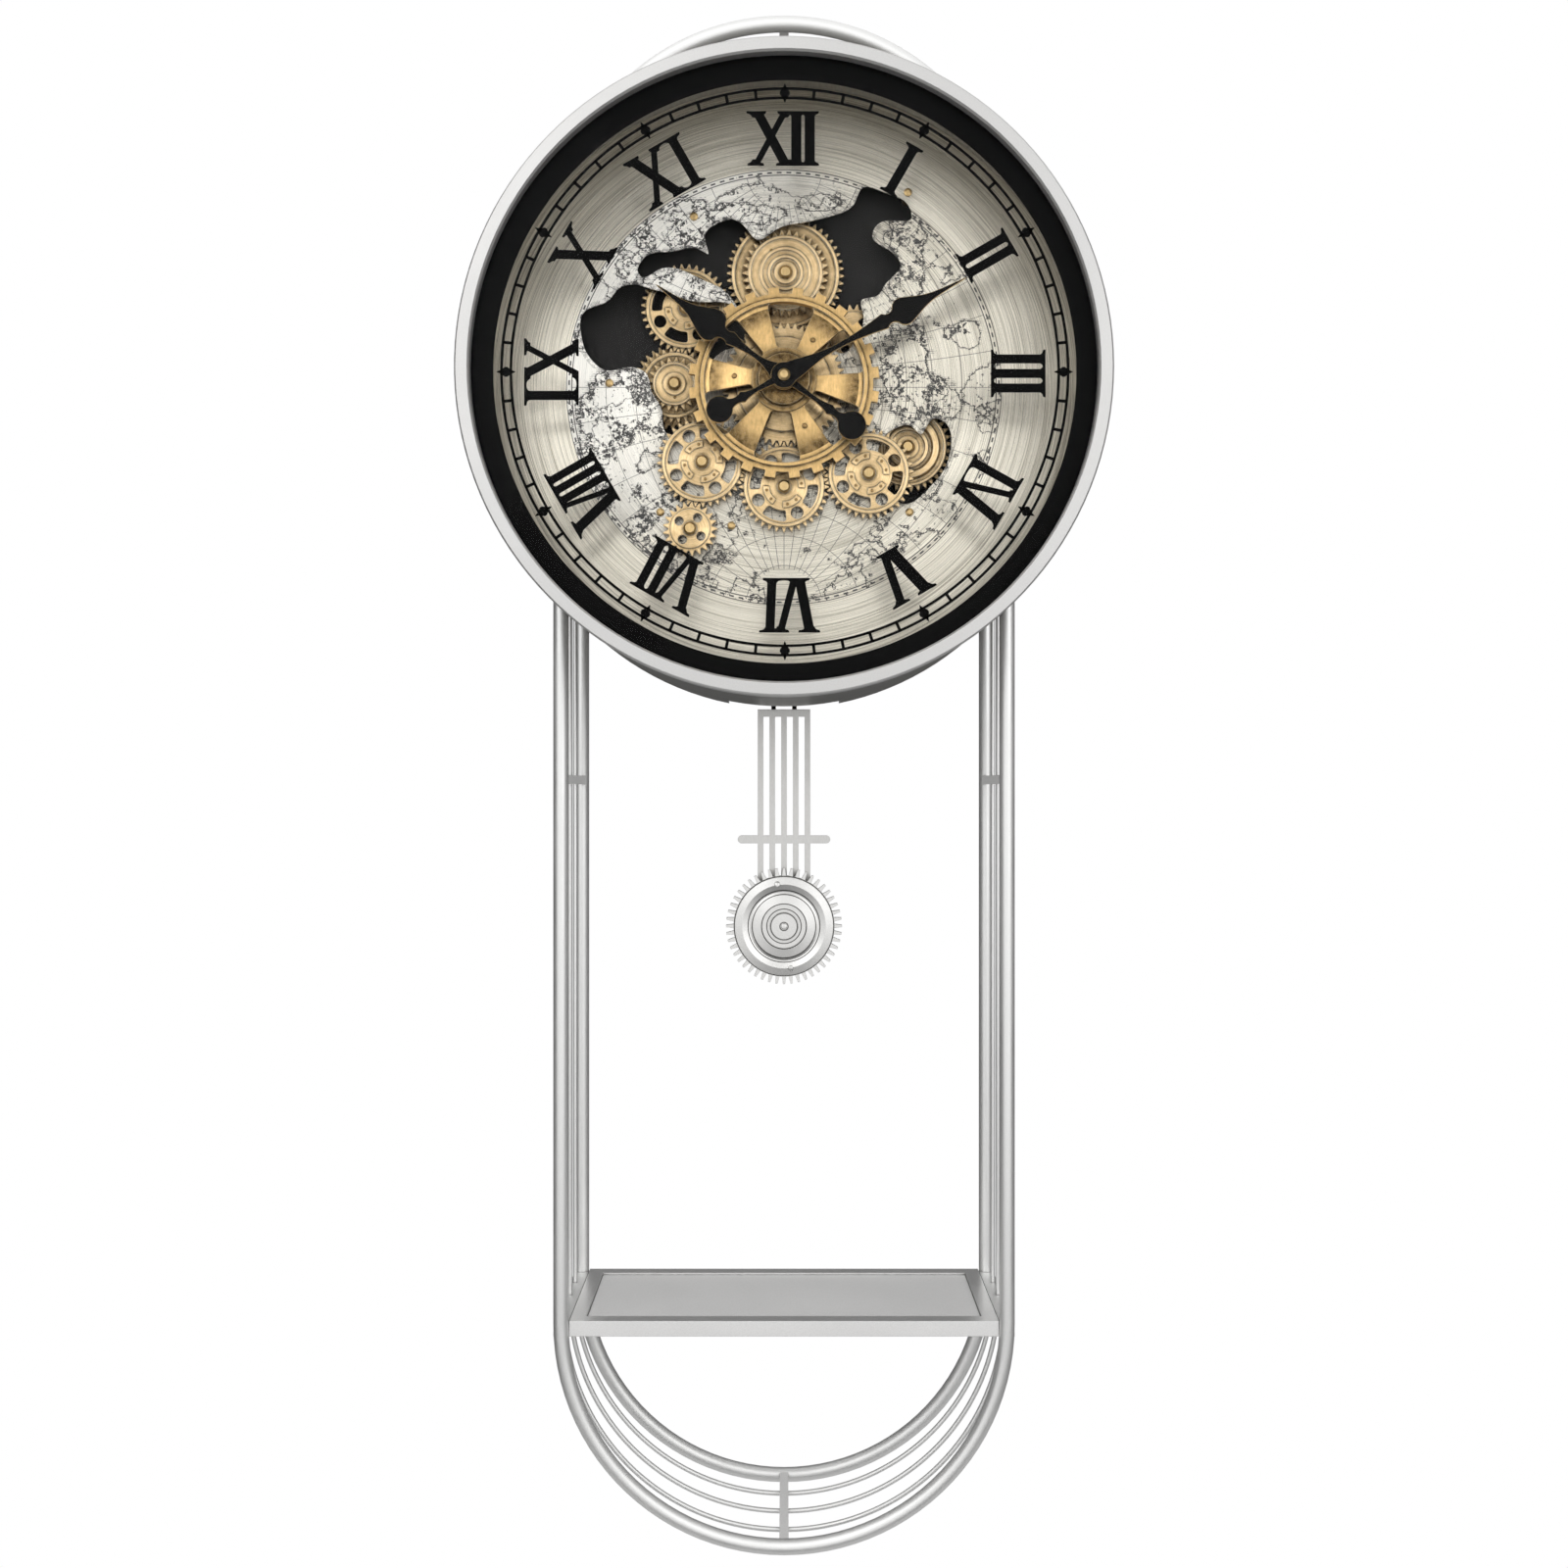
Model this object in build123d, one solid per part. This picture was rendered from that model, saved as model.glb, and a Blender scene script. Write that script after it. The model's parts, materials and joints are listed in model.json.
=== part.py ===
import os
from math import cos, pi, radians, sin, sqrt

from build123d import *

# A wall clock with moving gears: a steel drum head on a racetrack frame of bars and wires,
# a pendulum below the head and a shelf near the foot. Sizes are in millimetres.
# Depths count back from the front of the bezel to the wall. Heights count from the dial axis
# while the pieces are made, and the hanger hole becomes the origin when they are written.
overall_depth = 180.0
hanger_below_crown = 50.5

# Frame of bent bars, wires and strips.
frame_width = 300.0
frame_height = 1000.0
frame_depth = 120.0
frame_top_above_drum = 43.5
bar_diameter = 10.0
wire_diameter = 3.2
wire_count = 3
wire_outset = 1.5
strip_width = 6.0
strip_thickness = 3.0
side_strip_below_drum = 51.5
weld_gap = 0.1
drum_weld_gap = 0.25

# Shelf between the legs of the frame.
shelf_above_foot = 151.7
shelf_bar = 10.0
shelf_side_gap = 0.3
shelf_wall_gap = 1.0
panel_recess = 1.5
panel_thickness = 2.0
panel_gap = 0.4
panel_ledge = 3.5

# Case: drum, bezel, glass and the liner behind it.
drum_diameter = 401.0
drum_wall = 1.2
bezel_overhang = 1.0
bezel_face = 9.0
bezel_bevel_width = 1.2
bezel_bevel_depth = 1.5
bezel_edge_round = 1.0
bezel_skirt = 8.5
glass_depth = 7.5
glass_thickness = 3.0
liner_wall = 5.4
slip_fit = 0.1
press_gap = 0.02
notch_width = 79.0
notch_length = 34.5
notch_corner = 3.0

# Dial and the plate behind it.
dial_depth = 54.0
dial_thickness = 1.2
dial_centre_hole = 11.0
post_hole_clearance = 0.6
plate_depth = 71.0
plate_thickness = 2.5
pillar_radius = 3.0
screw_head_radius = 2.6
screw_head_height = 1.6
bracket_width = 24.0
bracket_leg = 16.0
bracket_thickness = 2.0
bracket_angles = (40.0, 140.0, 220.0, 320.0)

# Hanger bar across the back of the drum, with its keyhole.
hanger_height = 28.0
hanger_thickness = 2.0
hanger_hole_radius = 5.0
hanger_slot_radius = 2.3
hanger_slot_rise = 9.0

# Teeth, alike on every meshing wheel.
tooth_module = 1.52
tooth_addendum = 0.92
tooth_dedendum = 1.22
tooth_tip_half = 0.26
tooth_root_half = 1.05
running_fit = 0.05
wheel_thickness = 4.0
small_wheel_thickness = 3.5
front_wheel_depth = 46.5
middle_wheel_depth = 60.0
rear_wheel_depth = 65.5
end_play = 0.25
post_radius = 2.5
post_pin_radius = 2.0
post_cap_radius = 4.0
post_cap_height = 2.2
post_cap_round = 1.2

# Tooth counts of the train.
centre_teeth = 50
drive_teeth = 58
spoked_teeth = 36
pierced_teeth = 21
upper_right_teeth = 25
top_teeth = 48
left_middle_teeth = 30
left_rear_teeth = 35
idler_teeth = 15
motor_teeth = 12

# Bearings of the wheel centres, degrees anticlockwise from 3 o'clock, each seen from its driver.
bottom_bearing = -90.0
lower_left_bearing = 163.1
lower_right_bearing = 9.0
pierced_bearing = -100.2
top_bearing = 89.3
left_bearing = 177.7
upper_left_bearing = 82.0
upper_right_bearing = 37.5
idler_bearing = -25.0
motor_bearing = -55.0

# Spoked wheel: rim, slots, round holes and riveted plates.
spoked_rim_width = 3.6
spoked_rim_raise = 0.7
spoked_hub_radius = 15.0
spoked_hole_radius = 4.0
spoked_hole_bearing = 27.0
slot_span = 44.0
slot_round = 1.5
rivet_plate_inner = 9.4
rivet_plate_outer = 13.2
rivet_plate_span = 60.0
rivet_plate_raise = 0.6
boss_radius = 4.4
boss_raise = 1.0

# Pierced wheel: one raised disc with four round holes.
pierced_cover_inset = 1.6
pierced_cover_raise = 0.6
pierced_hole_radius = 2.9
pierced_hole_bearing = 55.0

# Rings turned on the faces of wheels: inset of the outer edge, inset of the inner edge, height.
right_rings = ((0.0, 2.4, 1.2), (4.0, 10.5, 2.2), (11.5, 15.0, 1.6))
top_front_rings = ((0.0, 2.4, 1.0), (7.2, 10.0, 0.9), (12.4, 15.2, 1.0))
left_front_rings = ((0.0, 1.8, 1.0),)
hub_radius = 7.2
top_rim_width = 1.8
top_rim_raise = 1.4
left_rim_width = 1.8
left_rim_raise = 0.9

# Ornamental wheels that ride in front of the top wheel and the left wheel.
top_front_teeth = 34
top_front_module = 1.54
left_front_teeth = 21
left_front_module = 1.52

# Cog wheel in the middle, with six sloping spokes.
cog_teeth = 24
cog_tip_radius = 60.7
cog_root_radius = 56.8
cog_tooth_width = 7.0
cog_inner_radius = 51.0
cog_lip_width = 2.3
cog_lip_raise = 1.5
cog_depth = 41.5
cog_thickness = 4.0
cog_bearing = 6.4
spoke_count = 6
spoke_span = 25.0
spoke_thickness = 2.0
spoke_bearing = -5.4
spoke_corner = 3.0
cog_hub_radius = 20.2
cog_hub_step_radius = 17.2
cog_hub_depth = 31.0
cog_hub_thickness = 4.5
cog_hub_step = 1.1
centre_dome_radius = 30.0
centre_dome_top_radius = 19.0
centre_dome_raise = 4.5

# Arbor of the centre wheels, on the fixed bush that the hand shafts pass through.
bush_radius = 5.0
bush_bore = 3.2
bush_front_depth = 29.5
arbor_wall = 2.4

# Hands and their shafts.
minute_hand_depth = 22.4
hour_hand_depth = 26.2
hand_thickness = 1.6
minute_hand_length = 129.0
minute_spade_at = 84.5
minute_spade_half = 8.7
minute_step_at = 71.5
minute_step_half = 5.0
minute_bulb_at = 45.6
minute_bulb_radius = 8.4
hour_hand_length = 99.0
hour_spade_at = 56.5
hour_spade_half = 10.4
hour_step_at = 41.5
hour_step_half = 4.5
hour_bulb_at = 52.4
hour_bulb_radius = 9.0
hand_hub_radius = 8.2
hand_waist_half = 1.7
hand_notch_half = 3.1
hand_notch_length = 8.0
tail_step_half = 3.6
tail_notch_half = 2.2
# Shares of the lengths and half widths above that place the points of the hands' curves.
bulb_neck_share = 0.8
tail_waist_ways = (0.78, 0.5)
hub_root_share = 0.85
hub_sweep = ((0.14, 0.7), (0.31, 0.37))
waist_way = 0.62
step_swell = (0.87, 0.7)
spade_base_share = 0.72
minute_bearing = 28.1
hour_bearing = 144.3
minute_shaft_radius = 1.75
hour_pipe_radius = 2.75
nut_radius = 3.9
nut_height = 3.0
nut_dome = (0.6, 0.9)
nut_shoulder = 0.4

# Drives on the back of the plate.
movement_size = 56.0
movement_thickness = 17.0
knob_radius = 8.0
knob_height = 5.0
knob_ribs = 24
knob_rib_depth = 0.7
knob_rib_tip_half = 0.4
knob_rib_root_half = 0.8
knob_stem_radius = 2.0
knob_stem_depth = 3.0
knob_offset_x = -15.0
knob_offset_z = 17.0
cell_radius = 7.1
cell_length = 50.0
cell_gap = 0.3
cell_nub_radius = 2.8
cell_nub_length = 2.0
cell_end_gap = 1.5
cell_wall = 3.0
cell_spacing = 2.0
cell_sink = 5.7
motor_width = 64.0
motor_height = 46.0
motor_thickness = 22.0
motor_shaft_radius = 1.5
motor_shaft_reach = 5.0
motor_shaft_gap = 1.0
case_round = 2.0

# Pendulum, its drive and the bracket that holds the drive.
pendulum_depth = 158.0
pivot_above_drum_floor = 50.5
pivot_below_drive_top = 16.0
drive_back_depth = 140.0
drive_width = 56.0
drive_height = 56.0
drive_thickness = 22.0
drive_bracket_thickness = 1.5
pivot_radius = 1.5
pivot_head_radius = 2.6
pivot_head_height = 1.5
hanger_width = 18.0
hanger_slit = 11.5
hanger_plate_thickness = 2.0
hanger_above_pivot = 7.0
hanger_slit_below_pivot = 8.0
hanger_corner = 2.0
grid_top_below_drum = 1.5
grid_thickness = 2.0
rod_count = 5
rod_width = 4.0
rod_pitch = 8.3
rod_overlap = 4.0
top_bar_height = 5.2
cross_bar_below_drum = 93.5
cross_bar_width = 65.5
cross_bar_height = 5.6
bob_below_drum = 154.5
bob_tip_radius = 40.9
bob_root_radius = 35.6
bob_teeth = 48
bob_tooth_tip_half = 0.75
bob_tooth_root_half = 1.45
bob_thickness = 4.0
bob_dish_radius = 34.7
bob_ring_radius = 24.2
bob_step_radius = 15.9
bob_cap_radius = 9.8
bob_cap_height = 3.3
bob_cap_crown = 0.3
bob_rim_height = 1.5
bob_swell_height = 2.7
bob_groove_height = 0.9
bob_groove_width = 2.4
bob_flat_height = 1.8
bob_step_height = 3.0

drum_radius = drum_diameter / 2
drum_inside = drum_radius - drum_wall
hanger_above_axis = drum_radius - hanger_below_crown
bezel_radius = drum_radius + bezel_overhang
bar_radius = bar_diameter / 2
loop_half = frame_width / 2 - bar_radius
frame_top = drum_radius + frame_top_above_drum
frame_foot = frame_top - frame_height
loop_top = frame_top - bar_radius
loop_bottom = frame_foot + bar_radius
back_bar_y = -bar_radius
front_bar_y = bar_radius - frame_depth
glass_back = glass_depth + glass_thickness
dial_back = dial_depth + dial_thickness
plate_back = plate_depth + plate_thickness
arbor_bore = bush_radius + running_fit
arbor_radius = arbor_bore + arbor_wall


def y_at(depth):
    return depth - overall_depth


def facing(depth, x=0.0, z=0.0):
    # A plane square to the dial axis, seen from the front: X right, Z up, normal to the viewer.
    return Plane(origin=(x, y_at(depth), z), x_dir=(1, 0, 0), z_dir=(0, -1, 0))


def plate(sketch, front, back, x=0.0, z=0.0):
    return extrude(facing(back, x, z) * sketch, back - front)


def disc(radius, front, back, x=0.0, z=0.0):
    return plate(Circle(radius), front, back, x, z)


def ring(outer, inner, front, back, x=0.0, z=0.0):
    return plate(Circle(outer) - Circle(inner), front, back, x, z)


def turned(profile, x=0.0, z=0.0):
    # Turns a closed outline of (radius, depth) points about an axis along Y.
    points = [(radius, y_at(depth)) for radius, depth in profile]
    return Pos(x, 0, z) * revolve(make_face(Polyline(*points, close=True)), Axis.Y)


def polar(radius, angle):
    return (radius * cos(angle), radius * sin(angle))


def sector(outer, inner, span, bearing):
    # A flat arc band: part of a ring, span degrees wide, about the given bearing.
    half = radians(span) / 2
    middle = radians(bearing)
    start_out = polar(outer, middle - half)
    end_out = polar(outer, middle + half)
    start_in = polar(inner, middle - half)
    end_in = polar(inner, middle + half)
    outside = ThreePointArc(start_out, polar(outer, middle), end_out)
    inside = ThreePointArc(end_in, polar(inner, middle), start_in)
    return make_face([outside, Line(end_out, end_in), inside, Line(start_in, start_out)])


def spread(shape, count, radius, bearing=0.0):
    # Copies of a flat shape round a circle.
    step = 360 / count
    return [Rot(0, 0, bearing + i * step) * Pos(radius, 0) * shape for i in range(count)]


def toothed(teeth, tip, root, tip_half, root_half, phase):
    # A toothed outline with straight flanks; phase is the angle of the first tooth, radians.
    points = []
    for i in range(teeth):
        middle = phase + 2 * pi * i / teeth
        points.append(polar(root, middle - root_half / root))
        points.append(polar(tip, middle - tip_half / tip))
        points.append(polar(tip, middle + tip_half / tip))
        points.append(polar(root, middle + root_half / root))
    return make_face(Polyline(*points, close=True))


class Wheel:
    # Where a wheel of the train sits, and how its teeth are turned.
    def __init__(self, teeth, x=0.0, z=0.0, phase=0.0, module=tooth_module):
        self.teeth = teeth
        self.x = x
        self.z = z
        self.phase = phase
        self.module = module
        self.pitch = module * teeth / 2
        self.tip = self.pitch + tooth_addendum * module
        self.root = self.pitch - tooth_dedendum * module

    def outline(self):
        tip_half = tooth_tip_half * self.module
        root_half = tooth_root_half * self.module
        return toothed(self.teeth, self.tip, self.root, tip_half, root_half, self.phase)

    def beside(self, teeth, bearing):
        # The wheel that meshes with this one, a tooth of one in a gap of the other.
        angle = radians(bearing)
        other = Wheel(teeth)
        reach = self.pitch + other.pitch
        other.x = self.x + reach * cos(angle)
        other.z = self.z + reach * sin(angle)
        along = self.pitch * (self.phase - angle) + pi * tooth_module / 2
        other.phase = angle + pi - along / other.pitch
        return other


centre = Wheel(centre_teeth)
drive = Wheel(drive_teeth)
bottom = centre.beside(spoked_teeth, bottom_bearing)
lower_left = bottom.beside(spoked_teeth, lower_left_bearing)
lower_right = bottom.beside(spoked_teeth, lower_right_bearing)
pierced = lower_left.beside(pierced_teeth, pierced_bearing)
top = centre.beside(top_teeth, top_bearing)
upper_right = centre.beside(upper_right_teeth, upper_right_bearing)
idler = centre.beside(idler_teeth, idler_bearing)
right = idler.beside(spoked_teeth, idler_bearing)
left_rear = drive.beside(left_rear_teeth, left_bearing)
left_middle = Wheel(left_middle_teeth, left_rear.x, left_rear.z)
upper_left = left_middle.beside(spoked_teeth, upper_left_bearing)
motor = drive.beside(motor_teeth, motor_bearing)
top_front = Wheel(top_front_teeth, top.x, top.z, module=top_front_module)
left_front = Wheel(left_front_teeth, left_rear.x, left_rear.z, module=left_front_module)

solids = {}


def keep(name, *shapes):
    # Files a node's solids, moved so that the hanger hole is the origin.
    pieces = [solid for shape in shapes for solid in shape.solids()]
    solids[name] = Pos(0, 0, -hanger_above_axis) * Compound(children=pieces)


# Frame

def bent_rod(diameter, half, top_z, bottom_z, y):
    # A racetrack loop of round rod, as an upper hoop and a lower hoop, trimmed by the drum.
    trim = extrude(Plane.XZ * Circle(drum_radius + drum_weld_gap), frame_depth, both=True)
    section = Plane.XY * Pos(-half, y) * Circle(diameter / 2)
    hoops = []
    for turn_z, crown_z in ((top_z - half, top_z), (bottom_z + half, bottom_z)):
        rise = Line((-half, y, 0), (-half, y, turn_z))
        arc = ThreePointArc((-half, y, turn_z), (0, y, crown_z), (half, y, turn_z))
        fall = Line((half, y, turn_z), (half, y, 0))
        hoops.append(sweep(section, path=Wire([rise, arc, fall])) - trim)
    return hoops


def frame_box(x, z, width, height):
    # A bar from front bar to back bar, before it is trimmed against them.
    middle_y = (front_bar_y + back_bar_y) / 2
    return Pos(x, middle_y, z) * Box(width, back_bar_y - front_bar_y, height)


shelf_top = frame_foot + shelf_above_foot
shelf_bottom = shelf_top - shelf_bar
rail_z = (shelf_top + shelf_bottom) / 2

front_upper, front_lower = bent_rod(bar_diameter, loop_half, loop_top, loop_bottom, front_bar_y)
back_upper, back_lower = bent_rod(bar_diameter, loop_half, loop_top, loop_bottom, back_bar_y)
keep("front_hoop_upper", front_upper)
keep("front_hoop_lower", front_lower)
keep("back_hoop_upper", back_upper)
keep("back_hoop_lower", back_lower)

# The bars with the weld gap round them, to trim what butts against them.
bar_trim = [
    hoop
    for y in (front_bar_y, back_bar_y)
    for hoop in bent_rod(bar_diameter + 2 * weld_gap, loop_half, loop_top, loop_bottom, y)
]

wire_half = loop_half + wire_outset
rail_gap = Pos(0, 0, rail_z) * Box(2 * frame_width, 2 * frame_depth, shelf_bar + 2 * weld_gap)
crown_wires = []
leg_wires = []
base_wires = []
for i in range(wire_count):
    wire_y = back_bar_y + (front_bar_y - back_bar_y) * (i + 1) / (wire_count + 1)
    hoops = bent_rod(wire_diameter, wire_half, loop_top + wire_outset, loop_bottom - wire_outset, wire_y)
    base, *legs = (hoops[1] - rail_gap).solids().sort_by(Axis.Z)
    crown_wires.append(hoops[0])
    base_wires.append(base)
    leg_wires.extend(legs)
keep("crown_wires", *crown_wires)
keep("leg_wires", *leg_wires)
keep("base_wires", *base_wires)

strip_inset = (strip_thickness + wire_diameter) / 2 + weld_gap - wire_outset
side_strip_z = -drum_radius - side_strip_below_drum
strips = []
for side in (-1, 1):
    strip = frame_box(side * (loop_half - strip_inset), side_strip_z, strip_thickness, strip_width)
    strips.append(strip - bar_trim)
for z, inward in ((loop_top, -1), (loop_bottom, 1)):
    strip = frame_box(0, z + inward * strip_inset, strip_width, strip_thickness)
    strips.append(strip - bar_trim)
keep("cross_strips", *strips)

rails = [frame_box(side * loop_half, rail_z, bar_diameter, shelf_bar) - bar_trim for side in (-1, 1)]
keep("side_rails", *rails)

shelf_half = loop_half - bar_radius - shelf_side_gap
shelf_length = -shelf_wall_gap - front_bar_y
shelf_y = (front_bar_y - shelf_wall_gap) / 2
pocket_width = 2 * (shelf_half - shelf_bar)
pocket_length = shelf_length - 2 * shelf_bar
panel_top = shelf_top - panel_recess
panel_bottom = panel_top - panel_thickness
pocket_depth = panel_recess + panel_thickness
shelf_body = Pos(0, shelf_y, rail_z) * Box(2 * shelf_half, shelf_length, shelf_bar)
shelf_pocket = Pos(0, shelf_y, shelf_top - pocket_depth / 2) * Box(pocket_width, pocket_length, pocket_depth)
shelf_opening = Pos(0, shelf_y, rail_z) * Box(
    pocket_width - 2 * panel_ledge, pocket_length - 2 * panel_ledge, 2 * shelf_bar
)
keep("shelf_frame", shelf_body - shelf_pocket - shelf_opening)
keep(
    "shelf_panel",
    Pos(0, shelf_y, (panel_top + panel_bottom) / 2)
    * Box(pocket_width - 2 * panel_gap, pocket_length - 2 * panel_gap, panel_thickness),
)

# Case

notch = Pos(0, -notch_length / 2, -drum_radius) * Box(notch_width, notch_length, drum_radius)
notch = fillet(notch.edges().filter_by(Axis.Z).sort_by(Axis.Y)[:2], notch_corner)
keep("case_drum", ring(drum_radius, drum_inside, glass_depth, overall_depth) - notch)

bezel_inner = bezel_radius - bezel_face
bezel_profile = [
    (bezel_inner, glass_depth),
    (bezel_inner, bezel_bevel_depth),
    (bezel_inner + bezel_bevel_width, 0),
    (bezel_radius - bezel_edge_round, 0),
    (bezel_radius, bezel_edge_round),
    (bezel_radius, glass_depth + bezel_skirt),
    (drum_radius + slip_fit, glass_depth + bezel_skirt),
    (drum_radius + slip_fit, glass_depth),
]
keep("bezel", turned(bezel_profile))

glass_radius = drum_inside - slip_fit
keep("glass", disc(glass_radius, glass_depth, glass_back))
keep("inner_liner", ring(glass_radius, glass_radius - liner_wall, glass_back, dial_depth))

# Dial: coast-like windows through the plate, drawn as smooth closed curves about the dial axis.
window_left = [
    (-131, 37), (-125, 51), (-113, 56), (-106, 64), (-94, 66), (-84, 63), (-75, 61), (-61, 56),
    (-48, 55), (-36, 54), (-23, 38), (-20, 27), (-34, 25), (-48, 14), (-55, -13), (-65, -31),
    (-76, -29), (-79, -13), (-85, -3), (-88, 8), (-100, 13), (-115, 11), (-124, 18),
]
window_top = [
    (-94, 77), (-88, 85), (-69, 88), (-55, 89), (-49, 86), (-51, 97), (-44, 105), (-32, 108),
    (-24, 102), (-17, 95), (-6, 101), (12, 106), (33, 111), (45, 118), (50, 128), (66, 125),
    (80, 117), (82, 109), (62, 106), (57, 97), (68, 88), (75, 78), (65, 66), (60, 59),
    (50, 56), (51, 47), (48, 34), (38, 22), (24, 30), (6, 37), (-14, 41), (-30, 52),
    (-38, 62), (-52, 69), (-67, 76), (-82, 75), (-91, 71),
]
window_low = [
    (98, -20), (105, -24), (107, -41), (103, -53), (93, -65), (78, -75), (66, -67), (60, -44),
    (64, -32), (72, -26), (82, -25), (88, -30),
]


def window(points):
    return make_face(Spline(*points, periodic=True))


def post_hole(wheel):
    return Pos(wheel.x, wheel.z) * Circle(post_radius + post_hole_clearance)


front_wheels = (bottom, lower_left, lower_right, pierced)
dial_face = Circle(glass_radius) - Circle(dial_centre_hole)
for outline in (window_left, window_top, window_low):
    dial_face = dial_face - window(outline)
for wheel in front_wheels:
    dial_face = dial_face - post_hole(wheel)
keep("dial_plate", plate(dial_face, dial_depth, dial_back))

pillar_places = [(79.7, 125.3), (-57.9, 109.8), (-112.3, 2.7), (-79.5, -80.3), (-33.8, -89.0), (80.7, -80.3)]
keep("dial_pillars", *[disc(pillar_radius, dial_back, plate_depth, x, z) for x, z in pillar_places])
keep(
    "dial_screws",
    *[
        turned(
            [
                (0, dial_depth - screw_head_height),
                (screw_head_radius / 2, dial_depth - screw_head_height),
                (screw_head_radius, dial_depth - screw_head_height / 2),
                (screw_head_radius, dial_depth),
                (0, dial_depth),
            ],
            x,
            z,
        )
        for x, z in pillar_places
    ],
)

motor_hole = Pos(motor.x, motor.z) * Circle(motor_shaft_radius + post_hole_clearance)
plate_face = Circle(glass_radius) - Circle(bush_radius + slip_fit) - motor_hole
keep("movement_plate", plate(plate_face, plate_depth, plate_back))

bracket_seat = drum_inside - slip_fit
brackets = []
for angle in bracket_angles:
    foot = Pos(bracket_seat - bracket_leg / 2, 0) * Rectangle(bracket_leg, bracket_width)
    wall_leg = Pos(bracket_seat - bracket_thickness, 0) * Rectangle(2 * bracket_thickness, bracket_width)
    rim = Circle(bracket_seat)
    bracket = plate(foot & rim, plate_back, plate_back + bracket_thickness)
    bracket = bracket + plate(wall_leg & rim, plate_back, plate_back + bracket_leg)
    brackets.append(Rot(0, -angle, 0) * bracket)
keep("plate_brackets", *brackets)

hanger_level = Pos(0, hanger_above_axis)
hanger_face = (hanger_level * Rectangle(drum_diameter, hanger_height)) & Circle(drum_inside - slip_fit)
hanger_face = hanger_face - hanger_level * Circle(hanger_hole_radius)
slot_rise = Pos(0, hanger_slot_rise / 2) * Rectangle(2 * hanger_slot_radius, hanger_slot_rise)
hanger_face = hanger_face - hanger_level * slot_rise
hanger_face = hanger_face - hanger_level * Pos(0, hanger_slot_rise) * Circle(hanger_slot_radius)
keep("hanger_bar", plate(hanger_face, overall_depth - hanger_thickness, overall_depth))

# Wheels of the train

pin_bore = post_pin_radius + running_fit
front_wheel_back = front_wheel_depth + wheel_thickness
middle_wheel_back = middle_wheel_depth + wheel_thickness
rear_wheel_back = rear_wheel_depth + wheel_thickness
small_wheel_depth = middle_wheel_depth - small_wheel_thickness


def bored(sketch, radius):
    return sketch - Circle(radius)


def boss(wheel, radius, depth):
    return ring(radius, pin_bore, depth - boss_raise, depth, wheel.x, wheel.z)


def spoked_wheel(wheel, depth):
    # Toothed rim and hub disc, joined by four webs with a round hole in each.
    rim_inner = wheel.root - spoked_rim_width
    web_middle = (rim_inner + spoked_hub_radius) / 2
    slot = fillet(sector(rim_inner, spoked_hub_radius, slot_span, 0).vertices(), slot_round)
    holes = spread(Circle(spoked_hole_radius), 4, web_middle, spoked_hole_bearing)
    slots = spread(slot, 4, 0, spoked_hole_bearing + 45)
    face = bored(wheel.outline(), pin_bore) - holes - slots
    body = plate(face, depth, depth + wheel_thickness, wheel.x, wheel.z)
    rim_step = rim_inner + spoked_rim_width / 2
    body = body + ring(wheel.root, rim_step, depth - spoked_rim_raise, depth, wheel.x, wheel.z)
    for i in range(4):
        strap = sector(rivet_plate_outer, rivet_plate_inner, rivet_plate_span, spoked_hole_bearing + 90 * i)
        body = body + plate(strap, depth - rivet_plate_raise, depth, wheel.x, wheel.z)
    return body + boss(wheel, boss_radius, depth)


def pierced_wheel(wheel, depth):
    # A toothed disc with a raised cover, and four round holes through both.
    cover_radius = wheel.root - pierced_cover_inset
    hole_circle = (cover_radius + boss_radius) / 2
    holes = spread(Circle(pierced_hole_radius), 4, hole_circle, pierced_hole_bearing)
    body = plate(bored(wheel.outline(), pin_bore) - holes, depth, depth + wheel_thickness, wheel.x, wheel.z)
    cover = bored(Circle(cover_radius), pin_bore) - holes
    body = body + plate(cover, depth - pierced_cover_raise, depth, wheel.x, wheel.z)
    return body + boss(wheel, boss_radius, depth)


def ringed_wheel(wheel, depth, thickness, rings):
    # A toothed disc with turned rings on its face: each has its outer and inner inset and its height.
    body = plate(bored(wheel.outline(), pin_bore), depth, depth + thickness, wheel.x, wheel.z)
    for outer_inset, inner_inset, height in rings:
        outer = wheel.root - outer_inset
        inner = wheel.root - inner_inset
        slope = (outer - inner) / 4
        crest = depth - height
        profile = [(inner, depth), (inner + slope, crest), (outer - slope, crest), (outer, depth)]
        body = body + turned(profile, wheel.x, wheel.z)
    return body + boss(wheel, hub_radius, depth)


keep("bottom_wheel", spoked_wheel(bottom, front_wheel_depth))
keep("lower_left_wheel", spoked_wheel(lower_left, front_wheel_depth))
keep("lower_right_wheel", spoked_wheel(lower_right, front_wheel_depth))
keep("upper_left_wheel", spoked_wheel(upper_left, middle_wheel_depth))
keep("small_pierced_wheel", pierced_wheel(pierced, front_wheel_depth))
keep("upper_right_wheel", pierced_wheel(upper_right, middle_wheel_depth))
keep("idler_pinion", ringed_wheel(idler, middle_wheel_depth, wheel_thickness, ()))
keep("right_ringed_wheel", ringed_wheel(right, middle_wheel_depth, wheel_thickness, right_rings))

# Top pair: a large wheel with a smaller toothed wheel riding on its face.
top_large = plate(bored(top.outline(), pin_bore), middle_wheel_depth, middle_wheel_back, top.x, top.z)
top_rim_front = middle_wheel_depth - top_rim_raise
top_rim = ring(top.root, top.root - top_rim_width, top_rim_front, middle_wheel_depth, top.x, top.z)
keep("top_wheel_large", top_large + top_rim)
keep("top_wheel_small", ringed_wheel(top_front, small_wheel_depth, small_wheel_thickness, top_front_rings))

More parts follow.
